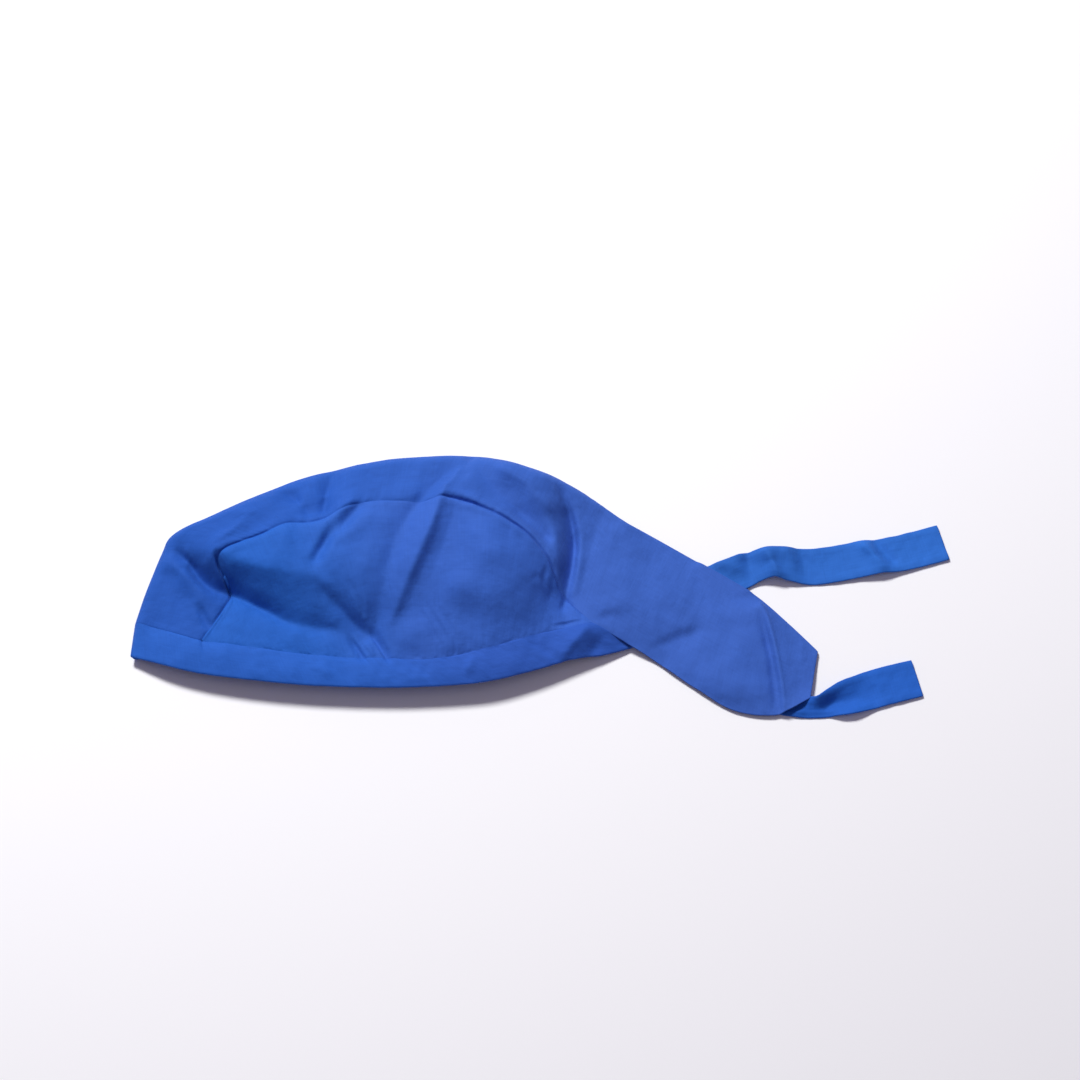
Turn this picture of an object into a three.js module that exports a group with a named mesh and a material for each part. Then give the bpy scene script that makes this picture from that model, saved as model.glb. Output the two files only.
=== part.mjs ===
import * as THREE from 'three';

// A bandana cap lying on its right side. Millimetres, +Z up, floor at Z = 0.
// The forehead is at -X, the crown top at +Y, the mouth opens to -Y, the tail and ties run to +X.

// Sizes
const PANEL_CLOTH = 1.2;
const BAND_CLOTH = 2.0;
const TIE_CLOTH = 1.6;
const TIE_WIDTH = 22.5;
const SEAM_GAP = 0.3;
const LAYER_GAP = 0.8;
const BLUNT_LENGTH = 1;

// Counts of mesh cells
const CAP_STATIONS = 58;
const TAIL_STATIONS = 14;
const STRIP_CELLS = 14;
const SIDE_CELLS = 19;
const FAR_ROWS = 1;
const BAND_CELLS = 3;
const TIE_STATIONS = 30;
const TIE_CELLS = 2;

// The centre strip, a row a station from the brow to the tip of the tail.
// outer: where the strip turns over at the outline. seam: its near edge.
// heights: edge of the outline, shoulder beside it, crest of the middle, near seam.
// shoulder: how wide the rounded shoulder is. under: how much lies on the floor beneath.
const STRIP = [
  { name: 'brow', outer: [-224.3, -25], seam: [-187, -38], heights: [6, 10, 13, 12], shoulder: 12, under: 26 },
  { name: 'forehead', outer: [-218, -6], seam: [-173, -14], heights: [6, 14, 17, 12], shoulder: 15, under: 28 },
  { name: 'hairline', outer: [-210, 17], seam: [-172, 8], heights: [6, 20, 22, 19], shoulder: 18, under: 30 },
  { name: 'front corner', outer: [-205.5, 27.5], seam: [-164, 17], heights: [6, 22, 24, 23], shoulder: 19, under: 30 },
  { name: 'front', outer: [-187, 38.5], seam: [-154, 21], heights: [7, 24, 26, 26], shoulder: 20, under: 31 },
  { name: 'front crown', outer: [-160, 51.5], seam: [-140, 28], heights: [7, 25, 27, 27], shoulder: 20, under: 31 },
  { name: 'crown', outer: [-132, 63.5], seam: [-123, 30], heights: [7, 25, 26, 25], shoulder: 20, under: 31 },
  { name: 'mid crown', outer: [-93, 73.8], seam: [-96, 38], heights: [7, 25, 26, 25], shoulder: 20, under: 31 },
  { name: 'top', outer: [-60, 77.3], seam: [-66, 41], heights: [7, 26, 29, 29], shoulder: 20, under: 30 },
  { name: 'top end', outer: [-30, 77.2], seam: [-45, 42], heights: [7, 25, 29, 30], shoulder: 20, under: 30 },
  { name: 'rear crown', outer: [5, 67.8], seam: [-13, 28], heights: [7, 22, 26, 26], shoulder: 18, under: 24 },
  { name: 'rear', outer: [22, 59.5], seam: [5, 12], heights: [6, 18, 22, 19], shoulder: 15, under: 17 },
  { name: 'above nape', outer: [36, 50.5], seam: [15, -8], heights: [5, 12, 16, 12], shoulder: 10, under: 9 },
  { name: 'nape', outer: [52, 38], seam: [31, -26], heights: [4, 8, 11, 10], shoulder: 5, under: 0 },
  { name: 'tail root', outer: [73, 24.8], seam: [46, -34], heights: [3.2, 5, 7, 8], shoulder: 2, under: 0 },
  { name: 'tail', outer: [92, 13], seam: [66, -46], heights: [2.6, 3.5, 5, 3], shoulder: 1, under: 0 },
  { name: 'tail middle', outer: [111, 1.5], seam: [88, -62.5], heights: [1.6, 2.4, 4, 1.8], shoulder: 1, under: 0 },
  { name: 'tail bend', outer: [125, -8], seam: [110, -76.5], heights: [1.8, 2.2, 3, 1.8], shoulder: 1, under: 0 },
  { name: 'tail end', outer: [141.5, -24], seam: [135, -81], heights: [1.8, 2.4, 4, 4], shoulder: 1, under: 0 },
  { name: 'tip', outer: [157.5, -41], seam: [152.5, -70], heights: [1.6, 2.2, 3.4, 3], shoulder: 1, under: 0 },
];

// Lower edge of the near side panel, from the front corner to the nape: plan place and height.
const NEAR_BAND_SEAM = [
  [-187, -38, 12], [-155, -43, 13], [-117, -47.5, 13], [-87, -48.5, 12.5],
  [-57, -49.5, 15], [-26, -43, 16], [4, -33, 13], [31, -26, 10],
];

// Mouth edge of the band over the near side, from the nape to the brow.
const NEAR_MOUTH = [
  [39, -43.5, 7], [19, -48.4, 9], [-3, -56, 11], [-26, -62.4, 12], [-48, -65, 12], [-76, -66.2, 12],
  [-104, -65.8, 12], [-132, -64.3, 12], [-160, -61.2, 12], [-188, -56.8, 11], [-208, -51.2, 10], [-225.5, -44.3, 6],
];

// Mouth edge of the band on the floor, from the brow to the far side of the nape.
const FAR_MOUTH = [
  [-218, -43.8, 0], [-203, -45.5, 0], [-180, -46, 0], [-120, -37, 0], [-60, -22.5, 0], [0, -4.5, 0], [41, 6, 0],
];

// Lower edge of the far side panel on the floor, from the front corner to the nape.
const FAR_BAND_SEAM = [[-150, -19, 0], [-120, -13, 0], [-60, 1, 0], [0, 18, 0], [38, 28, 0]];

// Ties, a row a station: plan place of the middle, height of the underside, share of the full width.
const LEFT_TIE = [
  [35.6, -34.8, 6, 0.84], [49, -29, 4.8, 1], [66, -20, 3.2, 1], [80, -11, 2.6, 1], [97, -0.4, 2.4, 1],
  [112, 8.6, 0.6, 1], [123, 13.6, 0.9, 0.93], [133, 14.4, 0.4, 0.88], [142, 13.4, 1, 0.92],
  [158, 12.4, 0, 0.98], [182, 16.2, 0, 1], [205, 20.2, 0, 1], [231, 27.3, 0, 1],
];
const RIGHT_TIE = [
  [41, 17, 0, 0.97], [50, 17.2, 0, 1], [58, 12.5, 0, 1], [66.5, 3.5, 0, 1], [77, -8, 0, 1], [98, -30, 0, 1], [119, -54, 0, 1],
  [133, -66.5, 0, 0.95], [147, -74, 0.2, 0.66], [157, -74.4, 0.8, 0.64], [166, -71.5, 0.8, 0.9],
  [174, -69.6, 0, 1], [191, -63.4, 0, 1], [211, -57.8, 0, 1],
];

// Folds of the near side: middle line in plan, rise at its middle, flat half width and slope each side.
// left is the side to the left of the line as it is followed.
const FOLDS = [
  { name: 'brow ridge', line: [[-207, 14], [-188, 4], [-178, -3]], rise: 3, flat: 0, left: 9, right: 12 },
  { name: 'brow hollow', line: [[-199, 0], [-192, -14]], rise: -2.2, flat: 0, left: 11, right: 9 },
  { name: 'front dent', line: [[-171, 11], [-177, -2], [-172, -13]], rise: -8, flat: 1, left: 13, right: 9 },
  { name: 'long valley', line: [[-170, -6], [-154, -16], [-134, -24], [-112, -31], [-100, -40]],
    rise: -7.5, flat: 0, left: 20, right: 9 },
  { name: 'front bulge', line: [[-160, 8], [-130, 10], [-95, 14]], rise: 5, flat: 3, left: 17, right: 20 },
  { name: 'narrow crease', line: [[-130, -1], [-110, -20], [-94, -36]], rise: -3, flat: 0, left: 8, right: 8 },
  { name: 'pressed ridge', line: [[-40, 66], [-57, 46], [-70, 24], [-78, 0], [-87, -34]],
    rise: 4.5, flat: 2.5, left: 9, right: 9 },
  { name: 'ridge valley', line: [[-46, 46], [-57, 22], [-65, -6], [-76, -34]], rise: -2.5, flat: 0, left: 14, right: 7 },
  { name: 'left of ridge', line: [[-64, 48], [-82, 28]], rise: -2.5, flat: 0, left: 8, right: 10 },
  { name: 'crown notch', line: [[-99, 42], [-112, 22]], rise: -3, flat: 0, left: 9, right: 9 },
  { name: 'front notch', line: [[-117, 24], [-128, 4]], rise: -3, flat: 0, left: 9, right: 9 },
  { name: 'crown crease', line: [[-114, 58], [-120, 34]], rise: -2.5, flat: 0, left: 9, right: 9 },
  { name: 'rear crease', line: [[-31, 64], [-18, 48], [-5, 36], [11, 20]], rise: -3.5, flat: 0, left: 9, right: 8 },
  { name: 'pocket', line: [[16, 28], [19, 6], [19, -15]], rise: -6.5, flat: 1, left: 8, right: 15 },
  { name: 'nape ridge', line: [[38, 32], [31, 6], [30, -14]], rise: 2.5, flat: 0, left: 10, right: 9 },
  { name: 'side hollow', line: [[-46, -14], [-42, -24]], rise: -3.5, flat: 0, left: 20, right: 20 },
  { name: 'rear bulge', line: [[-40, 30], [-38, 6]], rise: 3.5, flat: 0, left: 20, right: 20 },
  { name: 'band knuckle', line: [[27, -28], [18, -38], [9, -49]], rise: 2, flat: 0, left: 8, right: 8 },
];

// Folds of the tail, by the same columns.
const TAIL_FOLDS = [
  { name: 'tail root ridge', line: [[52, -10], [78, -27], [100, -34]], rise: 2, flat: 1, left: 11, right: 9 },
  { name: 'tail crease', line: [[60, -40], [76, -33], [98, -27], [111, -18]], rise: -1, flat: 0, left: 8, right: 8 },
  { name: 'tail ridge', line: [[124, -12], [131, -36], [136, -80]], rise: 3, flat: 0, left: 13, right: 9 },
];

const lerp = (a, b, t) => a + (b - a) * t;
const mix = (p, q, t) => p.map((value, index) => lerp(value, q[index], t));
const clamp01 = (t) => Math.min(1, Math.max(0, t));
const ease = (t) => clamp01(t) ** 2 * (3 - 2 * clamp01(t));
const distance = (p, q) => Math.hypot(...p.map((value, index) => value - q[index]));

// A smooth line through the points, each point an array of any length.
function smoothLine(points, cells = 10) {
  const out = [];
  for (let i = 0; i < points.length - 1; i += 1) {
    const before = points[Math.max(0, i - 1)];
    const after = points[Math.min(points.length - 1, i + 2)];
    for (let k = 0; k < cells; k += 1) {
      const t = k / cells;
      out.push(points[i].map((a, c) => {
        const b = points[i + 1][c];
        const slopeA = (b - before[c]) / 2;
        const slopeB = (after[c] - a) / 2;
        return a * (2 * t ** 3 - 3 * t ** 2 + 1) + b * (3 * t ** 2 - 2 * t ** 3)
          + slopeA * (t ** 3 - 2 * t ** 2 + t) + slopeB * (t ** 3 - t ** 2);
      }));
    }
  }
  out.push([...points[points.length - 1]]);
  return out;
}

// Running length along a line, measured on its first columns.
function runningLength(line, columns = 3) {
  const lengths = [0];
  for (let i = 1; i < line.length; i += 1) {
    lengths.push(lengths[i - 1] + distance(line[i].slice(0, columns), line[i - 1].slice(0, columns)));
  }
  return lengths;
}

// The point at a share of the line's length.
function atShare(line, lengths, share) {
  const wanted = clamp01(share) * lengths[lengths.length - 1];
  let i = 1;
  while (i < lengths.length - 1 && lengths[i] < wanted) i += 1;
  const step = lengths[i] - lengths[i - 1] || 1;
  return mix(line[i - 1], line[i], clamp01((wanted - lengths[i - 1]) / step));
}

function resample(line, count, columns = 3) {
  const lengths = runningLength(line, columns);
  return Array.from({ length: count + 1 }, (_, i) => atShare(line, lengths, i / count));
}

// Signed distance from a plan line, left of it positive, and the share of the way along it.
function fromLine(line, x, y) {
  let best = { gap: Infinity, side: 0, along: 0 };
  for (let i = 0; i < line.length - 1; i += 1) {
    const [ax, ay] = line[i];
    const dx = line[i + 1][0] - ax;
    const dy = line[i + 1][1] - ay;
    const share = clamp01(((x - ax) * dx + (y - ay) * dy) / (dx * dx + dy * dy));
    const gap = Math.hypot(x - ax - share * dx, y - ay - share * dy);
    if (gap < best.gap) {
      best = { gap, side: Math.sign(dx * (y - ay) - dy * (x - ax)), along: (i + share) / (line.length - 1) };
    }
  }
  return best;
}

// Rise of a table of folds at a place, rounded at the crest and at the foot of each slope.
function foldRise(folds, x, y) {
  return folds.reduce((sum, fold) => {
    const { gap, side, along } = fromLine(fold.line, x, y);
    const slope = side > 0 ? fold.left : fold.right;
    const away = clamp01(Math.max(0, gap - fold.flat) / slope);
    const ends = 0.55 + 0.45 * Math.sin(Math.PI * along);
    return sum + fold.rise * ends * (1 - ease(away));
  }, 0);
}

const LEFT_TIE_LINE = resample(smoothLine(LEFT_TIE), TIE_STATIONS);
const RIGHT_TIE_LINE = resample(smoothLine(RIGHT_TIE), TIE_STATIONS);

// How high a cloth laid over the ties has to be at a place.
function overTies(x, y) {
  return [LEFT_TIE_LINE, RIGHT_TIE_LINE].reduce((highest, line) => {
    const { gap, along } = fromLine(line, x, y);
    const base = line[Math.round(along * (line.length - 1))][2];
    const top = base + TIE_CLOTH + LAYER_GAP + PANEL_CLOTH;
    const fall = ease((TIE_WIDTH / 2 + 12 - gap) / 9);
    return Math.max(highest, top * fall);
  }, 0);
}

// The centre strip's stations, each with its outer point, seam point and heights, smooth along the strip.
function stripStations() {
  const flat = STRIP.map((row) => [...row.outer, ...row.seam, ...row.heights, row.shoulder, row.under]);
  const napeRow = STRIP.findIndex((row) => row.name === 'nape');
  const cap = resample(smoothLine(flat.slice(0, napeRow + 1)), CAP_STATIONS, 4);
  const tail = resample(smoothLine(flat.slice(napeRow)), TAIL_STATIONS, 4);
  return { cap, all: [...cap, ...tail.slice(1)] };
}

// One section across the strip: near seam, over the crest, round the outline and back beneath.
function stripSection(station, share) {
  const [ox, oy, sx, sy, edge, shoulderHeight, crest, seamHeight, shoulder, under] = station;
  const width = Math.hypot(sx - ox, sy - oy);
  const dir = [(sx - ox) / width, (sy - oy) / width];
  const onTail = ease((share - 1) * 5 + 0.35);
  const line = [];
  const steps = 48;
  for (let i = 0; i <= steps; i += 1) {
    const from = width * (1 - i / steps);
    const q = from / width;
    const settled = shoulderHeight * (1 - q) * (1 - 2 * q) + crest * 4 * q * (1 - q) + seamHeight * q * (2 * q - 1);
    const rise = Math.sqrt(1 - (1 - clamp01(from / Math.max(shoulder, 0.01))) ** 2);
    const x = ox + dir[0] * from;
    const y = oy + dir[1] * from;
    const folds = lerp(foldRise(FOLDS, x, y), foldRise(TAIL_FOLDS, x, y), onTail);
    const bare = edge + (settled - edge) * rise + folds * rise;
    const rest = overTies(x, y) * ease((share - 0.9) * 12);
    line.push([x, y, Math.max(bare, rest, PANEL_CLOTH + 0.05)]);
  }
  if (under > 0.5) {
    const turn = Math.min(edge, under);
    for (let i = 1; i <= 12; i += 1) {
      const angle = (i / 12) * (Math.PI / 2);
      const from = turn * (1 - Math.cos(angle));
      line.push([ox + dir[0] * from, oy + dir[1] * from, edge * (1 - Math.sin(angle))]);
    }
    for (let i = 1; i <= 12; i += 1) {
      const from = turn + (under - turn) * (i / 12) + 0.01 * i;
      line.push([ox + dir[0] * from, oy + dir[1] * from, 0]);
    }
  }
  return line;
}

// A closed shell from a grid of points on its outer face, thick on the inner side.
// facing is 1 where rows and then columns turn counter-clockwise seen from outside, or else -1.
// beside holds the neighbours' points over each seam, so both walls at a seam lean the same way.
// Each cell is cut along the diagonal that keeps closer to the folds.
function shell(name, grid, thick, facing, beside = {}, folds = []) {
  const rows = grid.length;
  const columns = grid[0].length;
  const inner = grid.map((row, i) => row.map((p, j) => {
    const normal = gridNormal(grid, i, j, beside);
    return p.map((value, c) => value - normal[c] * thick * facing);
  }));
  const points = [];
  const keys = new Map();
  const faces = [];
  const index = (p) => {
    const key = p.map((value) => Math.round(value * 2000)).join(',');
    if (!keys.has(key)) {
      keys.set(key, points.length);
      points.push(p);
    }
    return keys.get(key);
  };
  const face = (a, b, c) => {
    const [i, j, k] = [index(a), index(b), index(c)];
    if (i !== j && j !== k && k !== i) faces.push([i, j, k]);
  };
  const strays = (p, q) => {
    const [x, y] = mix(p, q, 0.5);
    const ends = foldRise(folds, p[0], p[1]) + foldRise(folds, q[0], q[1]);
    return Math.abs(ends / 2 - foldRise(folds, x, y)) + 0.002 * distance(p, q);
  };
  const quad = (a, b, c, d) => {
    if (strays(a, c) <= strays(b, d)) {
      face(a, b, c);
      face(a, c, d);
    } else {
      face(a, b, d);
      face(b, c, d);
    }
  };
  for (let i = 0; i < rows - 1; i += 1) {
    for (let j = 0; j < columns - 1; j += 1) {
      quad(grid[i][j], grid[i][j + 1], grid[i + 1][j + 1], grid[i + 1][j]);
      quad(inner[i + 1][j], inner[i + 1][j + 1], inner[i][j + 1], inner[i][j]);
    }
  }
  const wall = (outerA, outerB, innerB, innerA) => quad(outerB, outerA, innerA, innerB);
  for (let j = 0; j < columns - 1; j += 1) {
    wall(grid[0][j], grid[0][j + 1], inner[0][j + 1], inner[0][j]);
    wall(grid[rows - 1][j + 1], grid[rows - 1][j], inner[rows - 1][j], inner[rows - 1][j + 1]);
  }
  for (let i = 0; i < rows - 1; i += 1) {
    wall(grid[i + 1][0], grid[i][0], inner[i][0], inner[i + 1][0]);
    wall(grid[i][columns - 1], grid[i + 1][columns - 1], inner[i + 1][columns - 1], inner[i][columns - 1]);
  }
  return meshOf(name, points, faces);
}

function gridNormal(grid, i, j, { first, last, left, right } = {}) {
  const over = (list, k, own) => (list && list[k] ? list[k] : own);
  const up = i > 0 ? grid[i - 1][j] : over(first, j, grid[i][j]);
  const down = i < grid.length - 1 ? grid[i + 1][j] : over(last, j, grid[i][j]);
  const before = j > 0 ? grid[i][j - 1] : over(left, i, grid[i][j]);
  const after = j < grid[0].length - 1 ? grid[i][j + 1] : over(right, i, grid[i][j]);
  const along = new THREE.Vector3(...down).sub(new THREE.Vector3(...up));
  const across = new THREE.Vector3(...after).sub(new THREE.Vector3(...before));
  return across.cross(along).normalize().toArray();
}

function meshOf(name, points, faces) {
  const volume = faces.reduce((sum, [a, b, c]) => {
    const [p, q, r] = [points[a], points[b], points[c]];
    return sum + (p[0] * (q[1] * r[2] - q[2] * r[1]) + p[1] * (q[2] * r[0] - q[0] * r[2])
      + p[2] * (q[0] * r[1] - q[1] * r[0])) / 6;
  }, 0);
  const geometry = new THREE.BufferGeometry();
  const turned = volume < 0 ? faces.map(([a, b, c]) => [a, c, b]) : faces;
  geometry.setAttribute('position', new THREE.Float32BufferAttribute(points.flat(), 3));
  geometry.setIndex(turned.flat());
  geometry.computeVertexNormals();
  const mesh = new THREE.Mesh(geometry, new THREE.MeshStandardMaterial({ color: 0x335ab3, roughness: 0.9 }));
  mesh.name = name;
  return mesh;
}

// Moves the ends of a row of points inward, so neighbours keep a small gap at their seam.
function pullBack(row, first, last) {
  const end = row.length - 1;
  const moved = [...row];
  moved[0] = mix(row[0], row[1], first / distance(row[0], row[1]));
  moved[end] = mix(row[end], row[end - 1], last / distance(row[end], row[end - 1]));
  return moved;
}

// Cuts the points of a two-cornered panel off a little way in, where three seams meet.
function bluntEnds(grid) {
  const last = grid.length - 1;
  [[0, 1], [last, last - 1]].forEach(([end, beside]) => {
    const share = BLUNT_LENGTH / distance(grid[end][0], grid[beside][0]);
    grid[end] = grid[end].map((p, j) => mix(p, grid[beside][j], Math.min(0.8, share)));
  });
}

const turnGrid = (grid) => grid[0].map((_, j) => grid.map((row) => row[j]));
const half = SEAM_GAP / 2;

const { cap: capStations, all: allStations } = stripStations();
const sections = allStations.map((station, i) => (
  resample(stripSection(station, i / (capStations.length - 1)), STRIP_CELLS)
));

// Centre panel: its sections, stood back from the side panels and the band.
const centreRows = sections.map((row, i) => {
  const capRow = i < capStations.length;
  return capRow ? pullBack(row, half, half) : row;
});
const centreGrid = turnGrid(turnGrid(centreRows).map((column) => pullBack(column, half, 0)));

// Near side panel: between the strip's near seam and the band's seam, station for station.
const nearTop = capStations.map((_, i) => sections[i][0]);
const topLengths = runningLength(nearTop);
const bandSeamLine = smoothLine(NEAR_BAND_SEAM);
const bandSeamLengths = runningLength(bandSeamLine);
const nearBottom = nearTop.map((_, i) => {
  const share = topLengths[i] / topLengths[topLengths.length - 1];
  const [x, y, z] = atShare(bandSeamLine, bandSeamLengths, share);
  const inside = Math.sin(Math.PI * share) ** 0.5;
  return [x, y, z + foldRise(FOLDS, x, y) * inside];
});
nearBottom[0] = nearTop[0];
nearBottom[nearBottom.length - 1] = nearTop[nearTop.length - 1];
const nearGrid = nearTop.map((top, i) => {
  const bottom = nearBottom[i];
  if (distance(top, bottom) < 0.01) return Array.from({ length: SIDE_CELLS + 1 }, () => top);
  const reach = distance(top, bottom);
  const row = Array.from({ length: SIDE_CELLS + 1 }, (_, j) => {
    const s = j / SIDE_CELLS;
    const [x, y, z] = mix(top, bottom, s);
    const endRise = lerp(foldRise(FOLDS, top[0], top[1]), foldRise(FOLDS, bottom[0], bottom[1]), s);
    const bulge = 4 * s * (1 - s) * Math.min(3, reach / 14);
    const folds = (foldRise(FOLDS, x, y) - endRise) * ease(Math.min(s, 1 - s) * reach / 2);
    return [x, y, z + bulge + folds];
  });
  return pullBack(row, half, half);
});
bluntEnds(nearGrid);

// Far side panel, flat on the floor, between the strip's far seam and the band's far seam.
const farCorner = sections[0][STRIP_CELLS];
const farTopLine = capStations.map((_, i) => sections[i][STRIP_CELLS]);
const farEnd = FAR_BAND_SEAM[FAR_BAND_SEAM.length - 1];
const farTop = [...farTopLine.filter((p) => p[2] < 0.01 && p[0] < 30), farEnd];
const farTopLengths = runningLength(farTop);
const farBottomLine = smoothLine([farCorner, ...FAR_BAND_SEAM]);
const farBottomLengths = runningLength(farBottomLine);
const farBottom = farTop.map((_, i) => (
  atShare(farBottomLine, farBottomLengths, farTopLengths[i] / farTopLengths[farTop.length - 1])
));
const farGrid = farTop.map((top, i) => {
  const pointed = distance(top, farBottom[i]) < 0.01;
  if (pointed) return Array.from({ length: FAR_ROWS + 1 }, () => top);
  return pullBack(resample([farBottom[i], top], FAR_ROWS), half, half);
});
bluntEnds(farGrid);

// Head band: one doubled strip from the nape over the near side, round the brow and back on the floor.
const browSection = sections[0];
const browTurn = browSection.reduce((best, p, j) => (p[0] < browSection[best][0] ? j : best), 0);
const farSeam = farBottom.filter((_, i) => i > 0 && (i % 3 === 0 || i === farBottom.length - 1));
const bandTop = [...[...nearBottom].reverse(), ...browSection.slice(1), ...farSeam];
const turnIndex = nearBottom.length - 1 + browTurn;
const bandTopLengths = runningLength(bandTop);
const nearMouth = smoothLine(NEAR_MOUTH);
const farMouth = smoothLine([[-225.5, -44.3, 6], [-224.7, -44.2, 3], [-223, -44, 0.8], ...FAR_MOUTH]);
const bandGrid = bandTop.map((top, i) => {
  const near = i <= turnIndex;
  const from = near ? 0 : bandTopLengths[turnIndex];
  const to = near ? bandTopLengths[turnIndex] : bandTopLengths[bandTopLengths.length - 1];
  const share = (bandTopLengths[i] - from) / (to - from);
  const mouthLine = near ? nearMouth : farMouth;
  const mouth = atShare(mouthLine, runningLength(mouthLine), share);
  const row = Array.from({ length: BAND_CELLS + 1 }, (_, j) => {
    const s = j / BAND_CELLS;
    const [x, y, z] = mix(top, mouth, s);
    const upper = near ? ease((z - 8) / 3) : 0;
    const folds = (foldRise(FOLDS, x, y) - (1 - s) * foldRise(FOLDS, top[0], top[1])) * upper;
    return [x, y, Math.max(0, z + folds)];
  });
  return pullBack(row, half, 0);
});
const bandColumns = turnGrid(turnGrid(bandGrid).map((column) => pullBack(column, half, half)));

// A tie: a flat strip that follows its middle line.
function tieGrid(line) {
  return line.map(([x, y, z, share], i) => {
    const before = line[Math.max(0, i - 1)];
    const after = line[Math.min(line.length - 1, i + 1)];
    const dx = after[0] - before[0];
    const dy = after[1] - before[1];
    const length = Math.hypot(dx, dy);
    return Array.from({ length: TIE_CELLS + 1 }, (_, j) => {
      const across = (0.5 - j / TIE_CELLS) * TIE_WIDTH * share;
      return [x - (dy / length) * across, y + (dx / length) * across, Math.max(0, z) + TIE_CLOTH];
    });
  });
}

const capCount = capStations.length;
const nearReversed = [...nearGrid].reverse();
const pieces = [
  shell('centre_panel', centreGrid, PANEL_CLOTH, -1, {
    first: bandColumns.slice(capCount - 1, capCount + STRIP_CELLS).map((row) => row[1]),
    left: nearGrid.map((row) => row[1]),
  }, FOLDS),
  shell('left_side_panel', nearGrid, PANEL_CLOTH, 1, {
    left: capStations.map((_, i) => centreGrid[i][1]),
    right: [...bandColumns.slice(0, capCount)].reverse().map((row) => row[1]),
  }, FOLDS),
  shell('right_side_panel', farGrid, PANEL_CLOTH, 1),
  shell('head_band', bandColumns, BAND_CLOTH, -1, {
    left: [...nearReversed.map((row) => row[SIDE_CELLS - 1]), ...centreGrid[1].slice(1)],
  }),
  shell('left_tie', tieGrid(LEFT_TIE_LINE), TIE_CLOTH, 1),
  shell('right_tie', tieGrid(RIGHT_TIE_LINE), TIE_CLOTH, 1),
];

const group = new THREE.Group();
group.name = 'bandana_cap';
pieces.forEach((piece) => group.add(piece));

// The box's middle stands over the origin and its lowest point on the floor.
const box = new THREE.Box3().setFromObject(group);
const middle = box.getCenter(new THREE.Vector3());
pieces.forEach((piece) => piece.geometry.translate(-middle.x, -middle.y, -box.min.z));
group.userData.moved = [-middle.x, -middle.y, -box.min.z];

export default group;
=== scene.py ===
"""A bandana cap lying on its right side: cloth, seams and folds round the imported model, in a plain studio."""
import math
from collections import namedtuple

import bpy
import numpy as np
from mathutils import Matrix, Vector


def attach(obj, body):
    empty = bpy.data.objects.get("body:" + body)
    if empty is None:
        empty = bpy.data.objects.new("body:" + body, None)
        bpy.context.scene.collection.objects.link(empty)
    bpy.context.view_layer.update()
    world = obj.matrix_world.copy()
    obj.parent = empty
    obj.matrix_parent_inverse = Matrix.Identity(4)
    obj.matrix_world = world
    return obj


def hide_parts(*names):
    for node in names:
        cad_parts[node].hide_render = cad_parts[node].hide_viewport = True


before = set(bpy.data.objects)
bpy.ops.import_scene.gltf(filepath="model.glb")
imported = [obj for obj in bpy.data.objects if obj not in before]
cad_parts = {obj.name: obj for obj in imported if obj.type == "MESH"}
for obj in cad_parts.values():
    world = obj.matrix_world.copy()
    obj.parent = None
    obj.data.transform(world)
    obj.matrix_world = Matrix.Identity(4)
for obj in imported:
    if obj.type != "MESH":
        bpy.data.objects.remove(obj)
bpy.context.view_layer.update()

# Places are in plan millimetres, as the cap was drawn: this is the step from there to the row's frame.
ROW_FROM_PLAN = np.array([-4.293, 2.015, 0.0])
MM = 0.001

# Cloth, in millimetres
PANEL_CLOTH = 0.8
BAND_CLOTH = 1.5
TIE_CLOTH = 1.1
TIE_WIDTH = 22.5
LAYER_GAP = 0.5
SEAM_SINK = 0.05
BAND_SEAM_DEPTH = 0.1
SEAM_HALF = 0.9
CELL = 1.15
RELIEF_CELL = 0.8
SHOULDER_SHARE = 0.5
SHOULDER_INSET = 1.3

# The centre strip, a row a station from the brow to the tip of the tail.
# outer: where the strip turns over at the outline. seam: its near edge.
# edge: height of the outline. crown: height beside the shoulder. near: height of the near edge.
# shoulder: how wide the rounded shoulder is. under: how much lies on the floor beneath.
Station = namedtuple("Station", "name outer seam edge crown near shoulder under")
STRIP = [
    Station("brow", (-226.3, -25), (-187, -38), 6, 10, 12, 12, 26),
    Station("forehead", (-221, -6), (-172, -9.5), 6, 14, 12, 15, 28),
    Station("hairline", (-213, 17), (-178.4, 8.4), 6, 20, 19, 18, 30),
    Station("front corner", (-207, 28.5), (-165.5, 16.4), 6, 22, 23, 19, 30),
    Station("front", (-187, 38.5), (-154, 21), 7, 24, 26, 20, 31),
    Station("front crown", (-160, 52.2), (-140, 28), 7, 25, 27, 20, 31),
    Station("crown", (-132, 64.8), (-123, 30), 7, 25, 25, 20, 31),
    Station("mid crown", (-93, 73.8), (-97, 40.5), 7, 25, 25, 20, 31),
    Station("top", (-60, 77.3), (-66, 41), 7, 26, 29, 20, 30),
    Station("top end", (-30, 77.2), (-45, 42), 7, 25, 30, 20, 30),
    Station("rear crown", (5, 67.2), (-13, 28), 7, 22, 26, 18, 24),
    Station("rear", (22, 59.5), (5, 12), 6, 18, 19, 15, 17),
    Station("above nape", (36, 50.5), (15, -8), 5, 12, 12, 10, 9),
    Station("nape", (52, 38), (31, -26), 4, 8, 10, 5, 0),
    Station("tail root", (73, 24.8), (46, -34), 3.2, 5, 8, 2, 0),
    Station("tail", (92, 13), (66, -46), 2.6, 3.5, 3, 1, 0),
    Station("tail middle", (111, 1.5), (88, -62.5), 1.8, 2.4, 1.8, 1, 0),
    Station("tail bend", (125, -8), (110, -76.5), 1.8, 2.4, 1.8, 1, 0),
    Station("tail end", (141.5, -24), (134, -79.3), 1.8, 2.4, 4, 1, 0),
    Station("tip", (157.5, -41), (152.5, -70), 1.8, 2.2, 3, 1, 0),
]
NAPE = [station.name for station in STRIP].index("nape")

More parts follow.
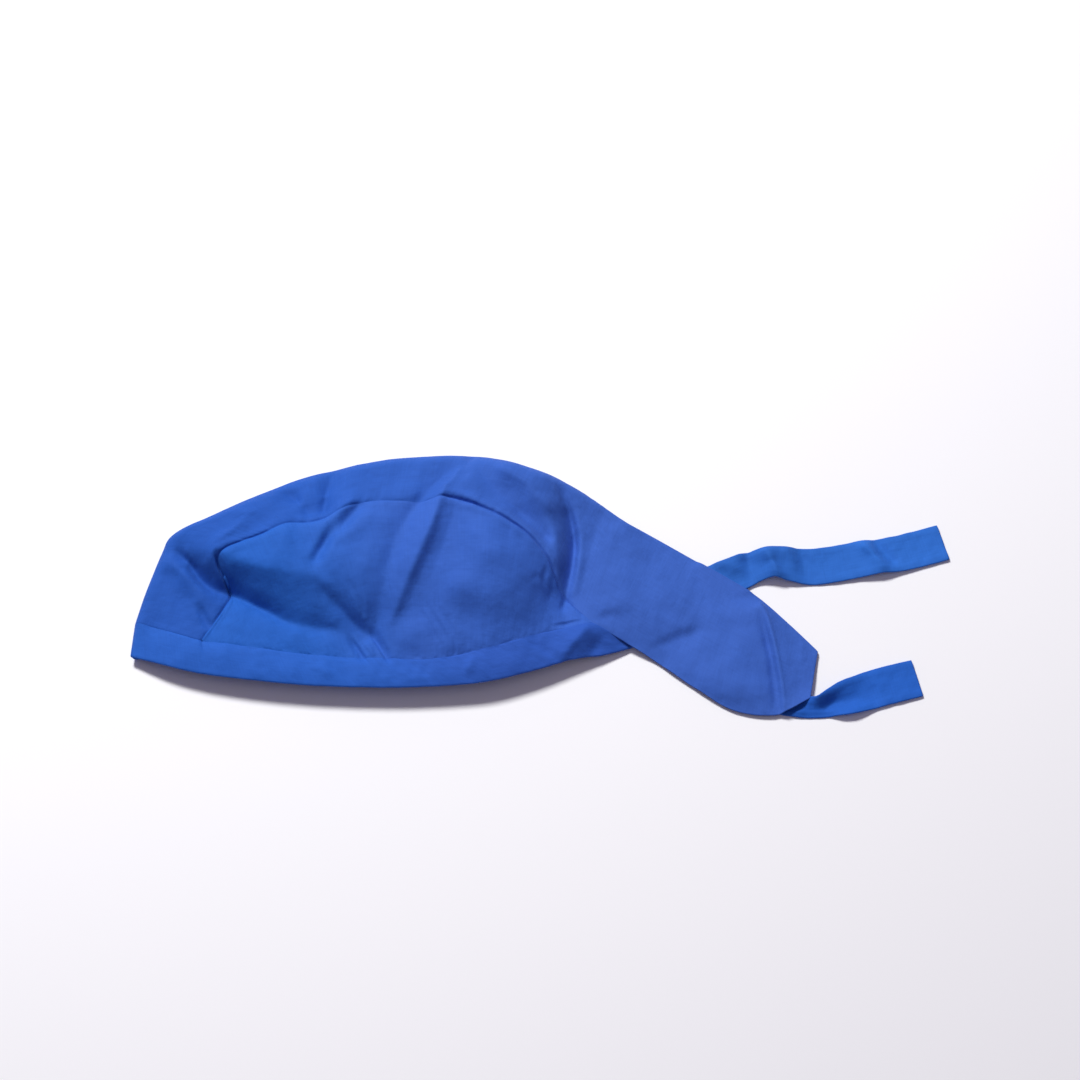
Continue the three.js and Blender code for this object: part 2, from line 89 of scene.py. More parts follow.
# Lower edge of the near side panel, from the front corner to the nape: plan place and height.
NEAR_BAND_SEAM = [
    (-187, -38, 12), (-155, -43, 13), (-117, -47.5, 12.3), (-87, -48.5, 12),
    (-57, -49.5, 14.8), (-26, -43, 15), (4, -33, 12), (31, -26, 10),
]

# Mouth edge of the band over the near side, from the nape to the brow.
NEAR_MOUTH = [
    (55, -37.6, 2.4), (38, -43.4, 5), (19, -48.4, 9), (-3, -56, 11), (-26, -62.4, 12),
    (-48, -65, 12), (-76, -66.2, 12),
    (-104, -65.8, 12), (-132, -64.3, 12), (-160, -61.2, 12), (-188, -56.8, 11), (-208, -51.2, 10),
    (-227, -44.3, 6),
]

# Mouth edge of the band round the brow and on the floor, to the far side of the nape.
FAR_MOUTH = [
    (-227, -44.3, 6), (-226.2, -44.2, 3), (-224.5, -44, 0.8), (-219, -43.8, 0), (-203, -45.5, 0),
    (-180, -46, 0), (-120, -37, 0), (-60, -22.5, 0), (0, -4.5, 0), (41, 6, 0),
]

# Lower edge of the far side panel on the floor, from the front corner to the nape.
FAR_BAND_SEAM = [(-150, -19, 0), (-120, -13, 0), (-60, 1, 0), (0, 18, 0), (38, 28, 0)]

# Ties, a row a station: plan place of the middle, height of the underside, share of the full width.
LEFT_TIE = [
    (48, -29, 0.2, 0.8), (57, -25, 0.5, 0.9), (66, -20, 1.2, 1), (80, -11, 1.8, 1), (97, -0.4, 1.8, 0.98),
    (112, 6.6, 0.6, 0.88), (123, 11.6, 0.9, 0.82), (133, 13.4, 0.6, 0.8), (142, 12.9, 1, 0.88),
    (158, 12.1, 0, 0.94), (182, 15.9, 0, 0.94), (205, 20, 0, 0.95), (230, 27.1, 0, 0.96),
]
RIGHT_TIE = [
    (41, 17, 0, 0.97), (50, 17.2, 0, 1), (58, 12.5, 0, 1), (66.5, 3.5, 0, 1), (77, -8, 0, 1),
    (98, -30, 0, 1), (119, -54, 0, 1), (133, -66.5, 0, 0.9), (146, -73.6, 0.2, 0.6),
    (157, -75.4, 0.6, 0.44), (166, -72.6, 0.8, 0.67), (174, -69.4, 0, 0.88), (191, -63, 0, 0.97),
    (212.6, -57, 0, 0.97),
]

# Lines of known height on the near side, along its valleys, crests and flats.
# soft: how round the cloth is across the line. line: plan place and height of its points.
Crease = namedtuple("Crease", "name soft line")
CAP_CREASES = [
    Crease("long valley", 0.9, [(-207, 18, 16), (-197, 11, 13), (-188, -1, 10.6), (-181, -6, 9.4),
                                (-171, -8, 8.6), (-162, -13, 9), (-153, -18, 10), (-138, -27, 11.8),
                                (-125, -30, 12.2), (-110, -33, 11.9), (-103, -41, 11.6), (-99, -48, 11.4)]),
    Crease("brow wedge top", 1.8, [(-185, 6, 20.5), (-181, 11, 25), (-177, 17, 26.4), (-170, 25, 26.6),
                                   (-160, 34, 26), (-148, 41, 25.2)]),
    Crease("front bulge", 2.2, [(-174, 7, 25.8), (-163, 3, 27.6), (-153, 0, 28.6), (-141, -2, 28.6),
                                (-130, -4, 27.4), (-125, -4, 26.6)]),
    Crease("bulge top", 5, [(-167, 11, 27.4), (-153, 13, 29), (-142, 13, 29)]),
    Crease("narrow crease", 0.8, [(-128, -6, 25.8), (-122, -11, 22.8), (-114, -17, 18.8), (-107, -23, 14.8),
                                  (-100, -30, 11.4), (-92, -35, 10.4)]),
    Crease("between creases", 2.5, [(-132, -9, 24.2), (-123, -18, 20.4), (-113, -27, 16.4)]),
    Crease("middle panel", 4, [(-112, 4, 28.4), (-100, 3, 28.6), (-91, 3, 27.4)]),
    Crease("middle panel top", 7, [(-113, 12, 28), (-96, 16, 28.5), (-88, 5, 27)]),
    Crease("strip valley", 0.9, [(-45, 64, 24), (-54, 56, 25.2), (-62, 46, 25.8), (-71, 34, 26.2),
                                 (-78, 21, 26), (-82, 6, 25), (-85, -9, 22.4), (-88, -22, 17.2),
                                 (-91, -34, 11.2)]),
    Crease("pressed crest", 0.7, [(-36, 72, 20), (-44, 59, 27), (-52, 47, 30.6), (-56, 33, 32),
                                  (-59, 24, 32), (-65, 9, 30), (-72, -6, 26), (-77, -19, 21.2),
                                  (-82, -29, 16.6), (-85, -37, 13.2)]),
    Crease("right of crest", 1.6, [(-48, 43, 29.2), (-53, 26, 28.5), (-58, 11, 26.4), (-66, -6, 22.8),
                                   (-72, -19, 19), (-77, -28, 15.8)]),
    Crease("rear bulge", 5, [(-38, 33, 30.8), (-31, 20, 33), (-27, 8, 33.2), (-18, 5, 32)]),
    Crease("side hollow", 3.5, [(-52, -24, 19.6), (-43, -27, 17.6), (-32, -27, 18.6)]),
    Crease("rear lower", 6, [(-17, -19, 24), (-8, -11, 24.6), (1, -2, 23)]),
    Crease("rear low side", 5, [(-22, -32, 18), (-7, -23, 17.4), (4, -13, 14.6)]),
    Crease("crown crease", 0.9, [(-115, 62, 18.6), (-118, 50, 19.8), (-120, 36, 21.6)]),
    Crease("crown right", 3, [(-106, 54, 25.5), (-103, 47, 27), (-87, 51, 26.6), (-71, 56, 26)]),
    Crease("notch beside the crown", 0.9, [(-97, 41, 27.6), (-102, 36, 25.2), (-107, 29, 25),
                                           (-110, 23, 27)]),
    Crease("notch before it", 0.9, [(-114, 25, 26.8), (-119, 16, 24.4), (-125, 4, 25)]),
    Crease("front ridge", 2, [(-210, 11, 15.4), (-199, 2, 17.6), (-189, -8, 16.4), (-181, -13, 13.6)]),
    Crease("brow streak", 4, [(-206, 3, 12.6), (-202, -8, 12), (-197, -20, 11.4)]),
    Crease("brow plane", 5, [(-216, -13, 11.5), (-211, -28, 11.8), (-197, -27, 11.8)]),
    Crease("low front", 3, [(-168, -16, 12.5), (-153, -25, 13.6), (-137, -35, 13.8), (-120, -41, 13.2),
                            (-108, -45, 12.5)]),
    Crease("low front side", 5, [(-180, -29, 12.5), (-166, -34, 13.6), (-149, -39, 13.8)]),
    Crease("rear crease", 1.4, [(-32, 62, 24.6), (-27, 55, 24.4), (-20, 47, 23.4), (-10, 38, 21.4),
                                (-1, 30, 19), (7, 22, 17)]),
    Crease("rear top", 4, [(-7, 61, 26), (4, 54, 25.5), (11, 47, 22)]),
    Crease("pocket valley", 0.9, [(12, 54, 20), (16, 47, 15.4), (20, 39, 10), (22, 25, 6.8), (21, 11, 6.8),
                                  (18, -4, 7), (15, -18, 8)]),
    Crease("pocket rim", 1.4, [(7, 34, 20), (10, 25, 19.2), (11, 16, 18.6), (12, 8, 16.8), (11, -1, 13.2),
                               (8, -11, 11.4)]),
    Crease("band seam front", 2, [(-216, -29, 9.5), (-202, -35, 11.5), (-186, -40, 12), (-171, -42, 12.8),
                                  (-155, -43, 13), (-132, -46, 12.8), (-117, -47, 12.3),
                                  (-107, -48, 11.8)]),
    Crease("band seam rear", 2, [(-81, -48, 11.8), (-71, -48, 12.4), (-57, -49, 13.2), (-37, -46, 13.8),
                                 (-26, -44, 14), (-9, -38, 13.2), (4, -33, 12), (16, -28, 10)]),
    Crease("mouth", 2, [(-222, -48, 8.3), (-205, -54, 10), (-188, -58, 11), (-160, -63, 12),
                        (-132, -66, 12), (-104, -67, 12), (-76, -67, 12), (-48, -65, 12),
                        (-26, -62, 12), (-3, -55, 11), (11, -51, 10)]),
    Crease("band knuckle", 0.9, [(29, -30, 11.6), (22, -39, 12.6), (13, -50, 11.6)]),
    Crease("band by the knuckle", 3, [(9, -33, 10.6), (6, -43, 10.2)]),
    Crease("band end", 1.2, [(40, -33, 6.6), (36, -37, 6.2), (31, -43, 5.4)]),
    Crease("wedge crown", 5, [(-190, 21, 23.5), (-181, 19, 23.8)]),
    Crease("right of narrow crease", 1.4, [(-120, -7, 26), (-111, -13, 23.4), (-103, -20, 19.8),
                                           (-96, -27, 16), (-91, -32, 13)]),
    Crease("left of crown crease", 3, [(-125, 52, 23.2), (-131, 44, 24), (-134, 38, 25)]),
    Crease("below notch", 3, [(-95, 33, 29.6), (-100, 26, 30), (-104, 19, 30)]),
    Crease("right of front notch", 3, [(-109, 20, 29.4), (-114, 11, 29.6), (-119, 4, 28.4)]),
    Crease("left of dimple", 3, [(-194, -21, 13.4), (-190, -30, 13)]),
    Crease("brow light", 4, [(-216, -7, 12.5), (-218, -19, 12.2)]),
    Crease("middle panel low", 5, [(-104, -9, 26.4), (-99, -17, 23.4), (-97, -24, 20)]),
    Crease("left of strip valley", 2.5, [(-68, 49, 28), (-76, 38, 28), (-84, 23, 27.6), (-88, 7, 26.6),
                                         (-91, -9, 23.4), (-94, -23, 18.2)]),
    Crease("crest foot", 4, [(-43, 37, 27), (-47, 22, 26.4), (-52, 7, 24.8), (-58, -9, 21.4),
                             (-65, -23, 17.6)]),
    Crease("rear bulge low", 3.5, [(-47, -9, 26.4), (-38, -14, 26.6), (-26, -17, 26)]),
    Crease("low side", 5, [(-65, -37, 15.8), (-50, -39, 16.6), (-36, -39, 17)]),
    Crease("rear crease crest", 2, [(-20, 62, 28.4), (-10, 55, 28), (0, 47, 26), (8, 40, 22.6)]),
    Crease("rear seam rise", 2, [(-45, 45, 30), (-35, 40, 29.8), (-20, 32, 28.6), (-9, 26, 26.4),
                                 (4, 17, 21)]),
    Crease("pocket right rim", 0.9, [(17, 51, 17), (21, 40, 14.6), (24, 28, 13.6), (24, 16, 12.8),
                                     (23, 4, 11.8), (20, -8, 10.2)]),
    Crease("tail root valley", 1, [(38, 41, 10.8), (33, 25, 10.6), (29, 11, 10.2), (26, -3, 9.6),
                                   (26, -13, 9.4)]),
    Crease("after root valley", 4, [(48, 32, 11.6), (43, 12, 11.6), (39, -6, 11)]),
    Crease("top dark patch", 1.6, [(-141, 50, 18.6), (-133, 42, 20.4), (-127, 34, 22.8)]),
    Crease("above notch A", 1.6, [(-103, 41, 29), (-110, 35, 29), (-116, 28, 28.4)]),
    Crease("above notch B", 1.3, [(-118, 26, 28.4), (-122, 17, 28), (-128, 7, 27.6)]),
    Crease("left of notch B", 3, [(-127, 25, 26.4), (-131, 16, 26.6), (-134, 9, 27.2)]),
    Crease("wedge slope", 3, [(-195, 15, 22), (-190, 9, 18.6)]),
    Crease("behind the wedge ridge", 3, [(-168, 20, 25), (-157, 28, 25.4), (-146, 34, 25.8)]),
    Crease("front bulge low", 4, [(-167, -3, 17.4), (-159, -8, 18), (-150, -13, 18.6), (-138, -18, 18.8),
                                  (-127, -21, 18.4), (-117, -23, 16.8)]),
    Crease("left of that", 3, [(-140, 22, 29.4), (-143, 11, 30.2)]),
    Crease("knuckle foot", 0.9, [(30, -29, 10.4), (26, -38, 10.6), (19, -47, 9.6)]),
    Crease("low by the crest", 3, [(-80, -37, 15), (-69, -37, 16.6), (-56, -35, 17.8)]),
    Crease("band end tip", 1.5, [(49, -37, 3.6), (46, -40, 3.2)]),
    Crease("right of the crest high", 2.5, [(-35, 57, 28), (-41, 48, 29)]),
]
# Fine wrinkles that stand on the larger folds: rise of the middle, and how wide each side is.
Wrinkle = namedtuple("Wrinkle", "name rise left right line")
WRINKLES = [
    Wrinkle("tail ridge line", 0.9, 1.5, 1.3,
            [(123, -1), (129, -18), (133, -35), (136, -54), (138, -72), (139, -93)]),
    Wrinkle("tail valley line", -1.7, 1.4, 4.5,
            [(123, -4), (127, -19), (130, -34), (133, -52), (135, -70), (136, -92)]),
    Wrinkle("brow seam", -0.9, 7, 1.4, [(-171, -10), (-174, -19), (-179, -28), (-187, -42)]),
    Wrinkle("brow dimple", -2.2, 4, 4, [(-192, -15), (-188, -20), (-185, -26), (-181, -33)]),
    Wrinkle("band seam streak", -0.9, 2, 2.5, [(7, -30), (17, -27), (28, -25)]),
    Wrinkle("dent", -4.0, 4.5, 1.2, [(-181, 15), (-180, 10), (-178, 4), (-175, -2), (-172, -8), (-172, -14)]),
    Wrinkle("pucker at the long valley", -1.9, 2, 4.5, [(-106, -33), (-100, -42), (-93, -54)]),
    Wrinkle("pucker at the pressed ridge", -2.2, 5, 1.7, [(-95, -30), (-88, -41), (-81, -54)]),
    Wrinkle("pucker between them", 1.0, 2.6, 2.6, [(-97, -37), (-93, -43), (-89, -50)]),
    Wrinkle("diagonal wrinkle low", -0.7, 2.6, 2.6, [(-68, -17), (-60, -30), (-52, -47)]),
    Wrinkle("diagonal wrinkle", -0.7, 2.6, 2.6, [(-64, -16), (-55, -30), (-47, -45)]),
    Wrinkle("diagonal wrinkle high", -0.6, 2.6, 2.6, [(-58, -17), (-50, -29), (-43, -42)]),
    Wrinkle("arc at the pocket", -1.1, 3, 2.5, [(7, 6), (4, -2), (5, -9)]),
    Wrinkle("streak at the pocket", -1.2, 3, 2.5, [(17, -5), (16, -13), (13, -19)]),
    Wrinkle("band fold", -0.8, 4, 5, [(-60, -50), (-63, -63)]),
    Wrinkle("band light fold", 0.8, 5, 4, [(-34, -47), (-40, -61)]),
    Wrinkle("band fold behind", -0.5, 4, 4, [(-68, -51), (-69, -62)]),
    Wrinkle("band front fold", -0.5, 6, 6, [(-157, -45), (-153, -60)]),
    Wrinkle("band middle fold", 0.5, 6, 6, [(-122, -50), (-115, -63)]),
    Wrinkle("crown line", -0.5, 3, 4, [(-99, 63), (-92, 58), (-85, 56)]),
    Wrinkle("strip line", -0.5, 3, 4, [(-174, 28), (-166, 32), (-156, 33)]),
    Wrinkle("front top line", 0.6, 4, 4, [(-185, 14), (-176, 21), (-166, 23)]),
    Wrinkle("tail middle wave", 0.6, 9, 9, [(64, 3), (76, -12), (92, -19)]),
    Wrinkle("tail side wave", -0.5, 8, 8, [(92, -6), (103, -12), (117, -37)]),
]
TAIL_CREASES = [
    Crease("tail middle high", 5, [(58, 13, 8.6), (67, -5, 8.6), (74, -20, 8.0)]),
    Crease("tail crease", 1.2, [(58, -41, 4.8), (67, -39, 4.2), (74, -35, 4), (86, -31, 4.2),
                                (95, -28, 5)]),
    Crease("tail crease end", 4, [(105, -22, 5.4), (114, -18, 6)]),
    Crease("above tail crease", 1.8, [(64, -36, 6.2), (74, -31, 6.4), (86, -26, 6.4)]),
    Crease("below tail crease", 4, [(86, -44, 6.0), (99, -41, 6.4), (111, -44, 5.8)]),
    Crease("tail lower middle", 4, [(94, -59, 7), (106, -65, 7.2), (119, -66, 6.8), (127, -66, 5.6)]),
    Crease("tail lower edge", 1.4, [(61, -46, 3.4), (92, -69, 2.6), (104, -76, 2), (117, -80, 1.9),
                                    (130, -81, 1.9)]),
    Crease("tail valley", 0.9, [(123, -15, 5.8), (128, -29, 4.8), (131, -43, 4), (133, -61, 3),
                                (135, -78, 2)]),
    Crease("tail ridge", 0.7, [(126, -12, 6.4), (130, -27, 6.4), (134, -42, 6.2), (137, -60, 5.6),
                               (138, -77, 4.4)]),
    Crease("tail tip edge", 2, [(149, -33, 2.8), (156, -38, 2.6), (157, -43, 2.6), (155, -61, 3.4),
                                (154, -69, 4.6)]),
    Crease("tail tip", 3, [(144, -40, 4), (145, -53, 4), (145, -65, 3.6)]),
    Crease("tail small crease", 1.1, [(36, -24, 8.2), (41, -21, 8.4), (48, -22, 8.6), (58, -20, 9)]),
    Crease("tail lower root edge", 1.4, [(35, -27, 9.4), (43, -33, 7.2), (55, -39, 4.8)]),
    Crease("right of tail ridge", 3, [(136, -35, 5.4), (139, -50, 5.4), (142, -70, 5)]),
    Crease("above small crease", 2, [(34, -20, 10), (43, -16, 10.4), (58, -16, 10)]),
    Crease("tip lower edge", 1.5, [(139, -79, 5.4), (146, -75, 5), (152, -71, 4.8)]),
]
LEFT_TIE_CREASES = [
    Crease("by the tail", 1, [(94, 14, 2.4), (104, 8, 2), (114, 2, 1.6)]),
    Crease("triangle", 1.2, [(100, 14, 3.6), (108, 13, 4.4), (115, 9, 4.4)]),
    Crease("triangle top", 1.2, [(108, 18, 4.6), (115, 19, 4.6)]),
    Crease("first valley", 0.7, [(120, 23, 2), (120, 13, 1.4), (121, 2, 1.4)]),
    Crease("facet crest", 0.9, [(129, 20, 8.4), (133, 13, 8.4), (137, 5, 7)]),
    Crease("facet middle", 1.5, [(141, 20, 6.4), (145, 13, 4.6), (147, 5, 2.6)]),
    Crease("second valley", 0.8, [(148, 22, 2), (153, 13, 0.8), (156, 3, 0.8)]),
    Crease("after facet", 1.5, [(155, 22, 2.4), (160, 13, 2), (162, 3, 1.8)]),
    Crease("flat", 5, [(169, 24, 2.2), (171, 4, 2)]),
    Crease("further flat", 4, [(178, 25, 2.8), (181, 7, 2.6)]),
    Crease("small crest", 1.1, [(185, 24, 6.6), (191, 17, 6.8), (197, 10, 5.6)]),
    Crease("small valley", 0.8, [(191, 28, 1.3), (196, 22, 1), (202, 15, 0.9)]),
    Crease("after small valley", 2, [(197, 29, 2.4), (202, 22, 2.6), (208, 15, 2.2)]),
    Crease("end", 5, [(215, 33, 1.8), (218, 15, 1.7)]),
]
RIGHT_TIE_CREASES = [
    Crease("under the tip", 2, [(134, -72, 1.2), (146, -70, 1.2)]),
    Crease("dark band", 1, [(143, -78, 2.4), (150, -76, 2.4)]),
    Crease("dark band edge", 0.9, [(140, -81, 1.2), (155, -81, 1.2), (164, -81, 1.2)]),
    Crease("upper edge", 0.9, [(156, -71, 7), (162, -67, 6.8), (169, -62, 4.9), (176, -59, 4)]),
    Crease("trough", 0.8, [(155, -77, 1.8), (161, -75, 1.2), (166, -72, 1.2), (175, -70, 1.2),
                           (183, -68, 1.3)]),
    Crease("lower edge rise", 1.2, [(169, -81, 4.2), (175, -80, 4.4), (183, -76, 3.4)]),
    Crease("right valley", 0.9, [(182, -59, 2.2), (185, -65, 1.3), (189, -72, 1.3)]),
    Crease("after right valley", 2, [(188, -58, 2.8), (193, -64, 2.8)]),
    Crease("flat", 5, [(200, -54, 2.2), (204, -67, 2)]),
    Crease("end", 5, [(211, -52, 1.8), (213, -66, 1.7)]),
]


# Lines and distances

def ease(t):
    """A smooth step from 0 to 1."""
    t = np.clip(t, 0, 1)
    return t * t * (3 - 2 * t)


def smooth_line(points, cells=10):
    """A smooth line through the points, each a row of any number of columns."""
    p = np.asarray(points, float)
    first, second = p[:-1], p[1:]
    slope_first = (second - np.vstack([p[:1], p[:-2]])) / 2
    slope_second = (np.vstack([p[2:], p[-1:]]) - first) / 2
    t = (np.arange(cells) / cells)[:, None, None]
    spans = (first * (2 * t**3 - 3 * t**2 + 1) + second * (3 * t**2 - 2 * t**3)
             + slope_first * (t**3 - 2 * t**2 + t) + slope_second * (t**3 - t**2))
    return np.vstack([spans.transpose(1, 0, 2).reshape(-1, p.shape[1]), p[-1:]])


def running_length(line, columns=3):
    """Length along a line to each of its points, measured on its first columns."""
    steps = np.linalg.norm(np.diff(line[:, :columns], axis=0), axis=1)
    return np.concatenate([[0.0], np.cumsum(steps)])


def at_shares(line, shares, columns=3):
    """The points at shares of the line's length."""
    lengths = running_length(line, columns)
    wanted = np.asarray(shares) * lengths[-1]
    return np.stack([np.interp(wanted, lengths, line[:, c]) for c in range(line.shape[1])], axis=1)


def resample(line, count, columns=3):
    """The line in count equal steps."""
    return at_shares(line, np.linspace(0, 1, count + 1), columns)


def from_line(line, x, y):
    """Plan distance from a line, the side (left is 1), and the share of the way along it."""
    line = np.asarray(line, float)
    gap = np.full(np.shape(x), np.inf)
    side = np.zeros(np.shape(x))
    along = np.zeros(np.shape(x))
    lengths = running_length(line, 2)
    for i in range(len(line) - 1):
        ax, ay = line[i][:2]
        dx, dy = line[i + 1][0] - ax, line[i + 1][1] - ay
        share = np.clip(((x - ax) * dx + (y - ay) * dy) / (dx * dx + dy * dy + 1e-12), 0, 1)
        here = np.hypot(x - ax - share * dx, y - ay - share * dy)
        nearer = here < gap
        gap = np.where(nearer, here, gap)
        side = np.where(nearer, np.sign(dx * (y - ay) - dy * (x - ax)), side)
        place = (lengths[i] + share * (lengths[i + 1] - lengths[i])) / lengths[-1]
        along = np.where(nearer, place, along)
    return gap, side, along


# Relief: a skin stretched over lines of known height

SOFTNESS_STEPS = [0.7, 1.4, 2.8, 5.6, 11.2]
FOLD_GAIN = 0.2
FOLD_REACH = 20.0
GUIDE_PULL = 0.04
SKIN_LEVELS = [16, 8, 4, 2, 1]
SKIN_ROUNDS = 160
SKIN_PULL = 6


def stretched(places, values, pulls, low, count, cell):
    """A skin stretched over a plan grid and held at scattered places, solved from coarse to fine."""
    skin = None
    for level in SKIN_LEVELS:
        size = cell * level
        shape = tuple(int(math.ceil((n - 1) / level)) + 2 for n in count)
        weight, total = np.zeros(shape), np.zeros(shape)
        spot = (places - low) / size
        corner = np.floor(spot).astype(int)
        share = spot - corner
        for dx in (0, 1):
            for dy in (0, 1):
                part = np.abs(1 - dx - share[:, 0]) * np.abs(1 - dy - share[:, 1]) * pulls
                np.add.at(weight, (corner[:, 0] + dx, corner[:, 1] + dy), part)
                np.add.at(total, (corner[:, 0] + dx, corner[:, 1] + dy), part * values)
        known = total / np.maximum(weight, 1e-9)
        pull = SKIN_PULL * np.minimum(weight, 1)
        if skin is None:
            skin = np.full(shape, float(np.mean(values)))
        else:
            skin = doubled(skin, shape)
        for _ in range(SKIN_ROUNDS):
            wide = np.pad(skin, 1, mode="edge")
            around = wide[:-2, 1:-1] + wide[2:, 1:-1] + wide[1:-1, :-2] + wide[1:-1, 2:]
            skin = (around + pull * known) / (4 + pull)
    return skin[:count[0], :count[1]]


def doubled(grid, shape):
    """The grid at twice its fineness."""
    rows = np.minimum(np.arange(shape[0]) / 2, grid.shape[0] - 1.001)
    columns = np.minimum(np.arange(shape[1]) / 2, grid.shape[1] - 1.001)
    return sampled(grid, rows[:, None], columns[None, :])


def sampled(grid, row, column):
    """Values of a grid between its points."""
    row = np.clip(row, 0, grid.shape[0] - 1.001)
    column = np.clip(column, 0, grid.shape[1] - 1.001)
    i, j = np.floor(row).astype(int), np.floor(column).astype(int)
    s, t = row - i, column - j
    return ((grid[i, j] * (1 - s) + grid[i + 1, j] * s) * (1 - t)
            + (grid[i, j + 1] * (1 - s) + grid[i + 1, j + 1] * s) * t)


def blurred(grid, sigma):
    """The grid smoothed over sigma cells."""
    reach = int(3 * sigma) + 1
    taps = np.exp(-0.5 * (np.arange(-reach, reach + 1) / sigma) ** 2)
    taps /= taps.sum()
    for axis in (0, 1):
        margin = [(reach, reach) if a == axis else (0, 0) for a in (0, 1)]
        wide = np.pad(grid, margin, mode="edge")
        length = grid.shape[axis]
        parts = [tap * np.take(wide, range(k, k + length), axis=axis) for k, tap in enumerate(taps)]
        grid = np.sum(parts, axis=0)
    return grid


class Relief:
    """Heights over a plan rectangle, from creases and from weaker guide lines."""

    def __init__(self, low, high, creases, guides=()):
        self.low = np.array(low, float)
        self.count = tuple(int((b - a) / RELIEF_CELL) + 1 for a, b in zip(low, high))
        samples = []
        for lines, pull in ((creases, 1.0), (guides, GUIDE_PULL)):
            for crease in lines:
                line = smooth_line(crease.line)
                steps = int(running_length(line, 2)[-1] / (RELIEF_CELL / 2)) + 1
                points = resample(line, steps, 2)[:, :3]
                extra = np.tile([math.log2(crease.soft), pull], (len(points), 1))
                samples.append(np.hstack([points, extra]))
        data = np.vstack(samples)
        inside = np.all((data[:, :2] > self.low) & (data[:, :2] < np.array(high)), axis=1)
        data = data[inside]
        pulls = data[:, 4]
        heights = stretched(data[:, :2], data[:, 2], pulls, self.low, self.count, RELIEF_CELL)
        soft = stretched(data[:, :2], data[:, 3], pulls, self.low, self.count, RELIEF_CELL)
        self.grid = self.softened(heights, soft)
        self.grid += FOLD_GAIN * (self.grid - blurred(self.grid, FOLD_REACH / RELIEF_CELL))

    def softened(self, heights, soft):
        """The heights, each smoothed as much as its place asks."""
        copies = [blurred(heights, s / RELIEF_CELL) for s in SOFTNESS_STEPS]
        step = np.clip(soft - math.log2(SOFTNESS_STEPS[0]), 0, len(copies) - 1.001)
        lower = np.floor(step).astype(int)
        stack = np.array(copies)
        near = np.take_along_axis(stack, lower[None], 0)[0]
        far = np.take_along_axis(stack, lower[None] + 1, 0)[0]
        return near + (far - near) * (step - lower)

    def at(self, x, y):
        """Heights at plan places."""
        return sampled(self.grid, (x - self.low[0]) / RELIEF_CELL, (y - self.low[1]) / RELIEF_CELL)


def waves(x, y, length, seed, count=16):
    """A random surface of about unit height whose waves are about as long as given."""
    rng = np.random.default_rng(seed)
    total = np.zeros(np.shape(x))
    for _ in range(count):
        turn = rng.uniform(0, math.tau)
        number = math.tau / (length * rng.uniform(0.7, 1.6))
        total += np.cos(number * (x * math.cos(turn) + y * math.sin(turn)) + rng.uniform(0, math.tau))
    return total / math.sqrt(count)


# The shapes of the whole cap

LEFT_TIE_LINE = resample(smooth_line(LEFT_TIE), 60)
RIGHT_TIE_LINE = resample(smooth_line(RIGHT_TIE), 60)


# Cloth over a tie is down again TIE_COVER past the tie's edge, and starts down TIE_COVER_FADE before that
TIE_COVER = 10
TIE_COVER_FADE = 9


def over_ties(x, y):
    """How high a cloth laid over the ties has to be."""
    highest = np.zeros(np.shape(x))
    for line in (LEFT_TIE_LINE, RIGHT_TIE_LINE):
        gap, _, along = from_line(line, x, y)
        base = np.interp(along, np.linspace(0, 1, len(line)), line[:, 2])
        top = base + TIE_CLOTH + LAYER_GAP + PANEL_CLOTH
        highest = np.maximum(highest, top * ease((TIE_WIDTH / 2 + TIE_COVER - gap) / TIE_COVER_FADE))
    return highest


def station_rows():
    """The strip's stations close together, with the number of them that belong to the cap."""
    table = np.array([[*s.outer, *s.seam, s.edge, s.crown, s.near, s.shoulder, s.under] for s in STRIP])
    cap = smooth_line(table[:NAPE + 1])
    tail = smooth_line(table[NAPE:])
    cap = resample(cap, int(running_length(cap, 2)[-1] / CELL), 4)
    tail = resample(tail, int(running_length(tail, 4)[-1] / (CELL * 1.5)), 4)
    rows = np.vstack([cap, tail[1:]])
    across = rows[:, 2:4] - rows[:, :2]
    across /= np.linalg.norm(across, axis=1)[:, None]
    rows[:, :2] += across * SHOULDER_INSET * ease(rows[:, 7:8] / 10)
    return rows, len(cap)


def guide_lines(stations, cap_count):
    """Weak guides along the shoulder of the strip, and firm ones along the tail's edges."""
    outer, seam = stations[:, :2], stations[:, 2:4]
    across = (seam - outer) / np.linalg.norm(seam - outer, axis=1)[:, None]
    shoulder = outer + across * stations[:, 7:8]
    line = np.column_stack([shoulder, stations[:, 5]])
    near = np.column_stack([seam, stations[:, 6]])
    weak = [Crease("shoulder", 5, line[:cap_count:6]), Crease("tail near edge", 3, near[cap_count + 4::6])]
    firm = [Crease("tail outer edge", 2.5, line[cap_count + 6::6])]
    return weak, firm


STATIONS, CAP_COUNT = station_rows()
WEAK_GUIDES, FIRM_GUIDES = guide_lines(STATIONS, CAP_COUNT)
CAP_RELIEF = Relief((-236, -96), (172, 88), CAP_CREASES + TAIL_CREASES + FIRM_GUIDES, WEAK_GUIDES)


def top_height(x, y):
    """Height of the upper side of the cap, before the shoulder turns it over at the outline."""
    slack = 0.3 * waves(x, y, length=21, seed=3) + 0.08 * waves(x, y, length=7, seed=4)
    return CAP_RELIEF.at(x, y) + wrinkle_rise(x, y) + slack + pleats(x, y)


# The pleats in plan: where they start and end, how far they fade in, and their size
PLEAT_X = (21, 44)
PLEAT_Y = (8, 58)
PLEAT_FADE_X = (5, 8)
PLEAT_FADE_Y = 10
PLEAT_RISE = 0.2
PLEAT_SLOPE = 0.12
PLEAT_PITCH = 3.1


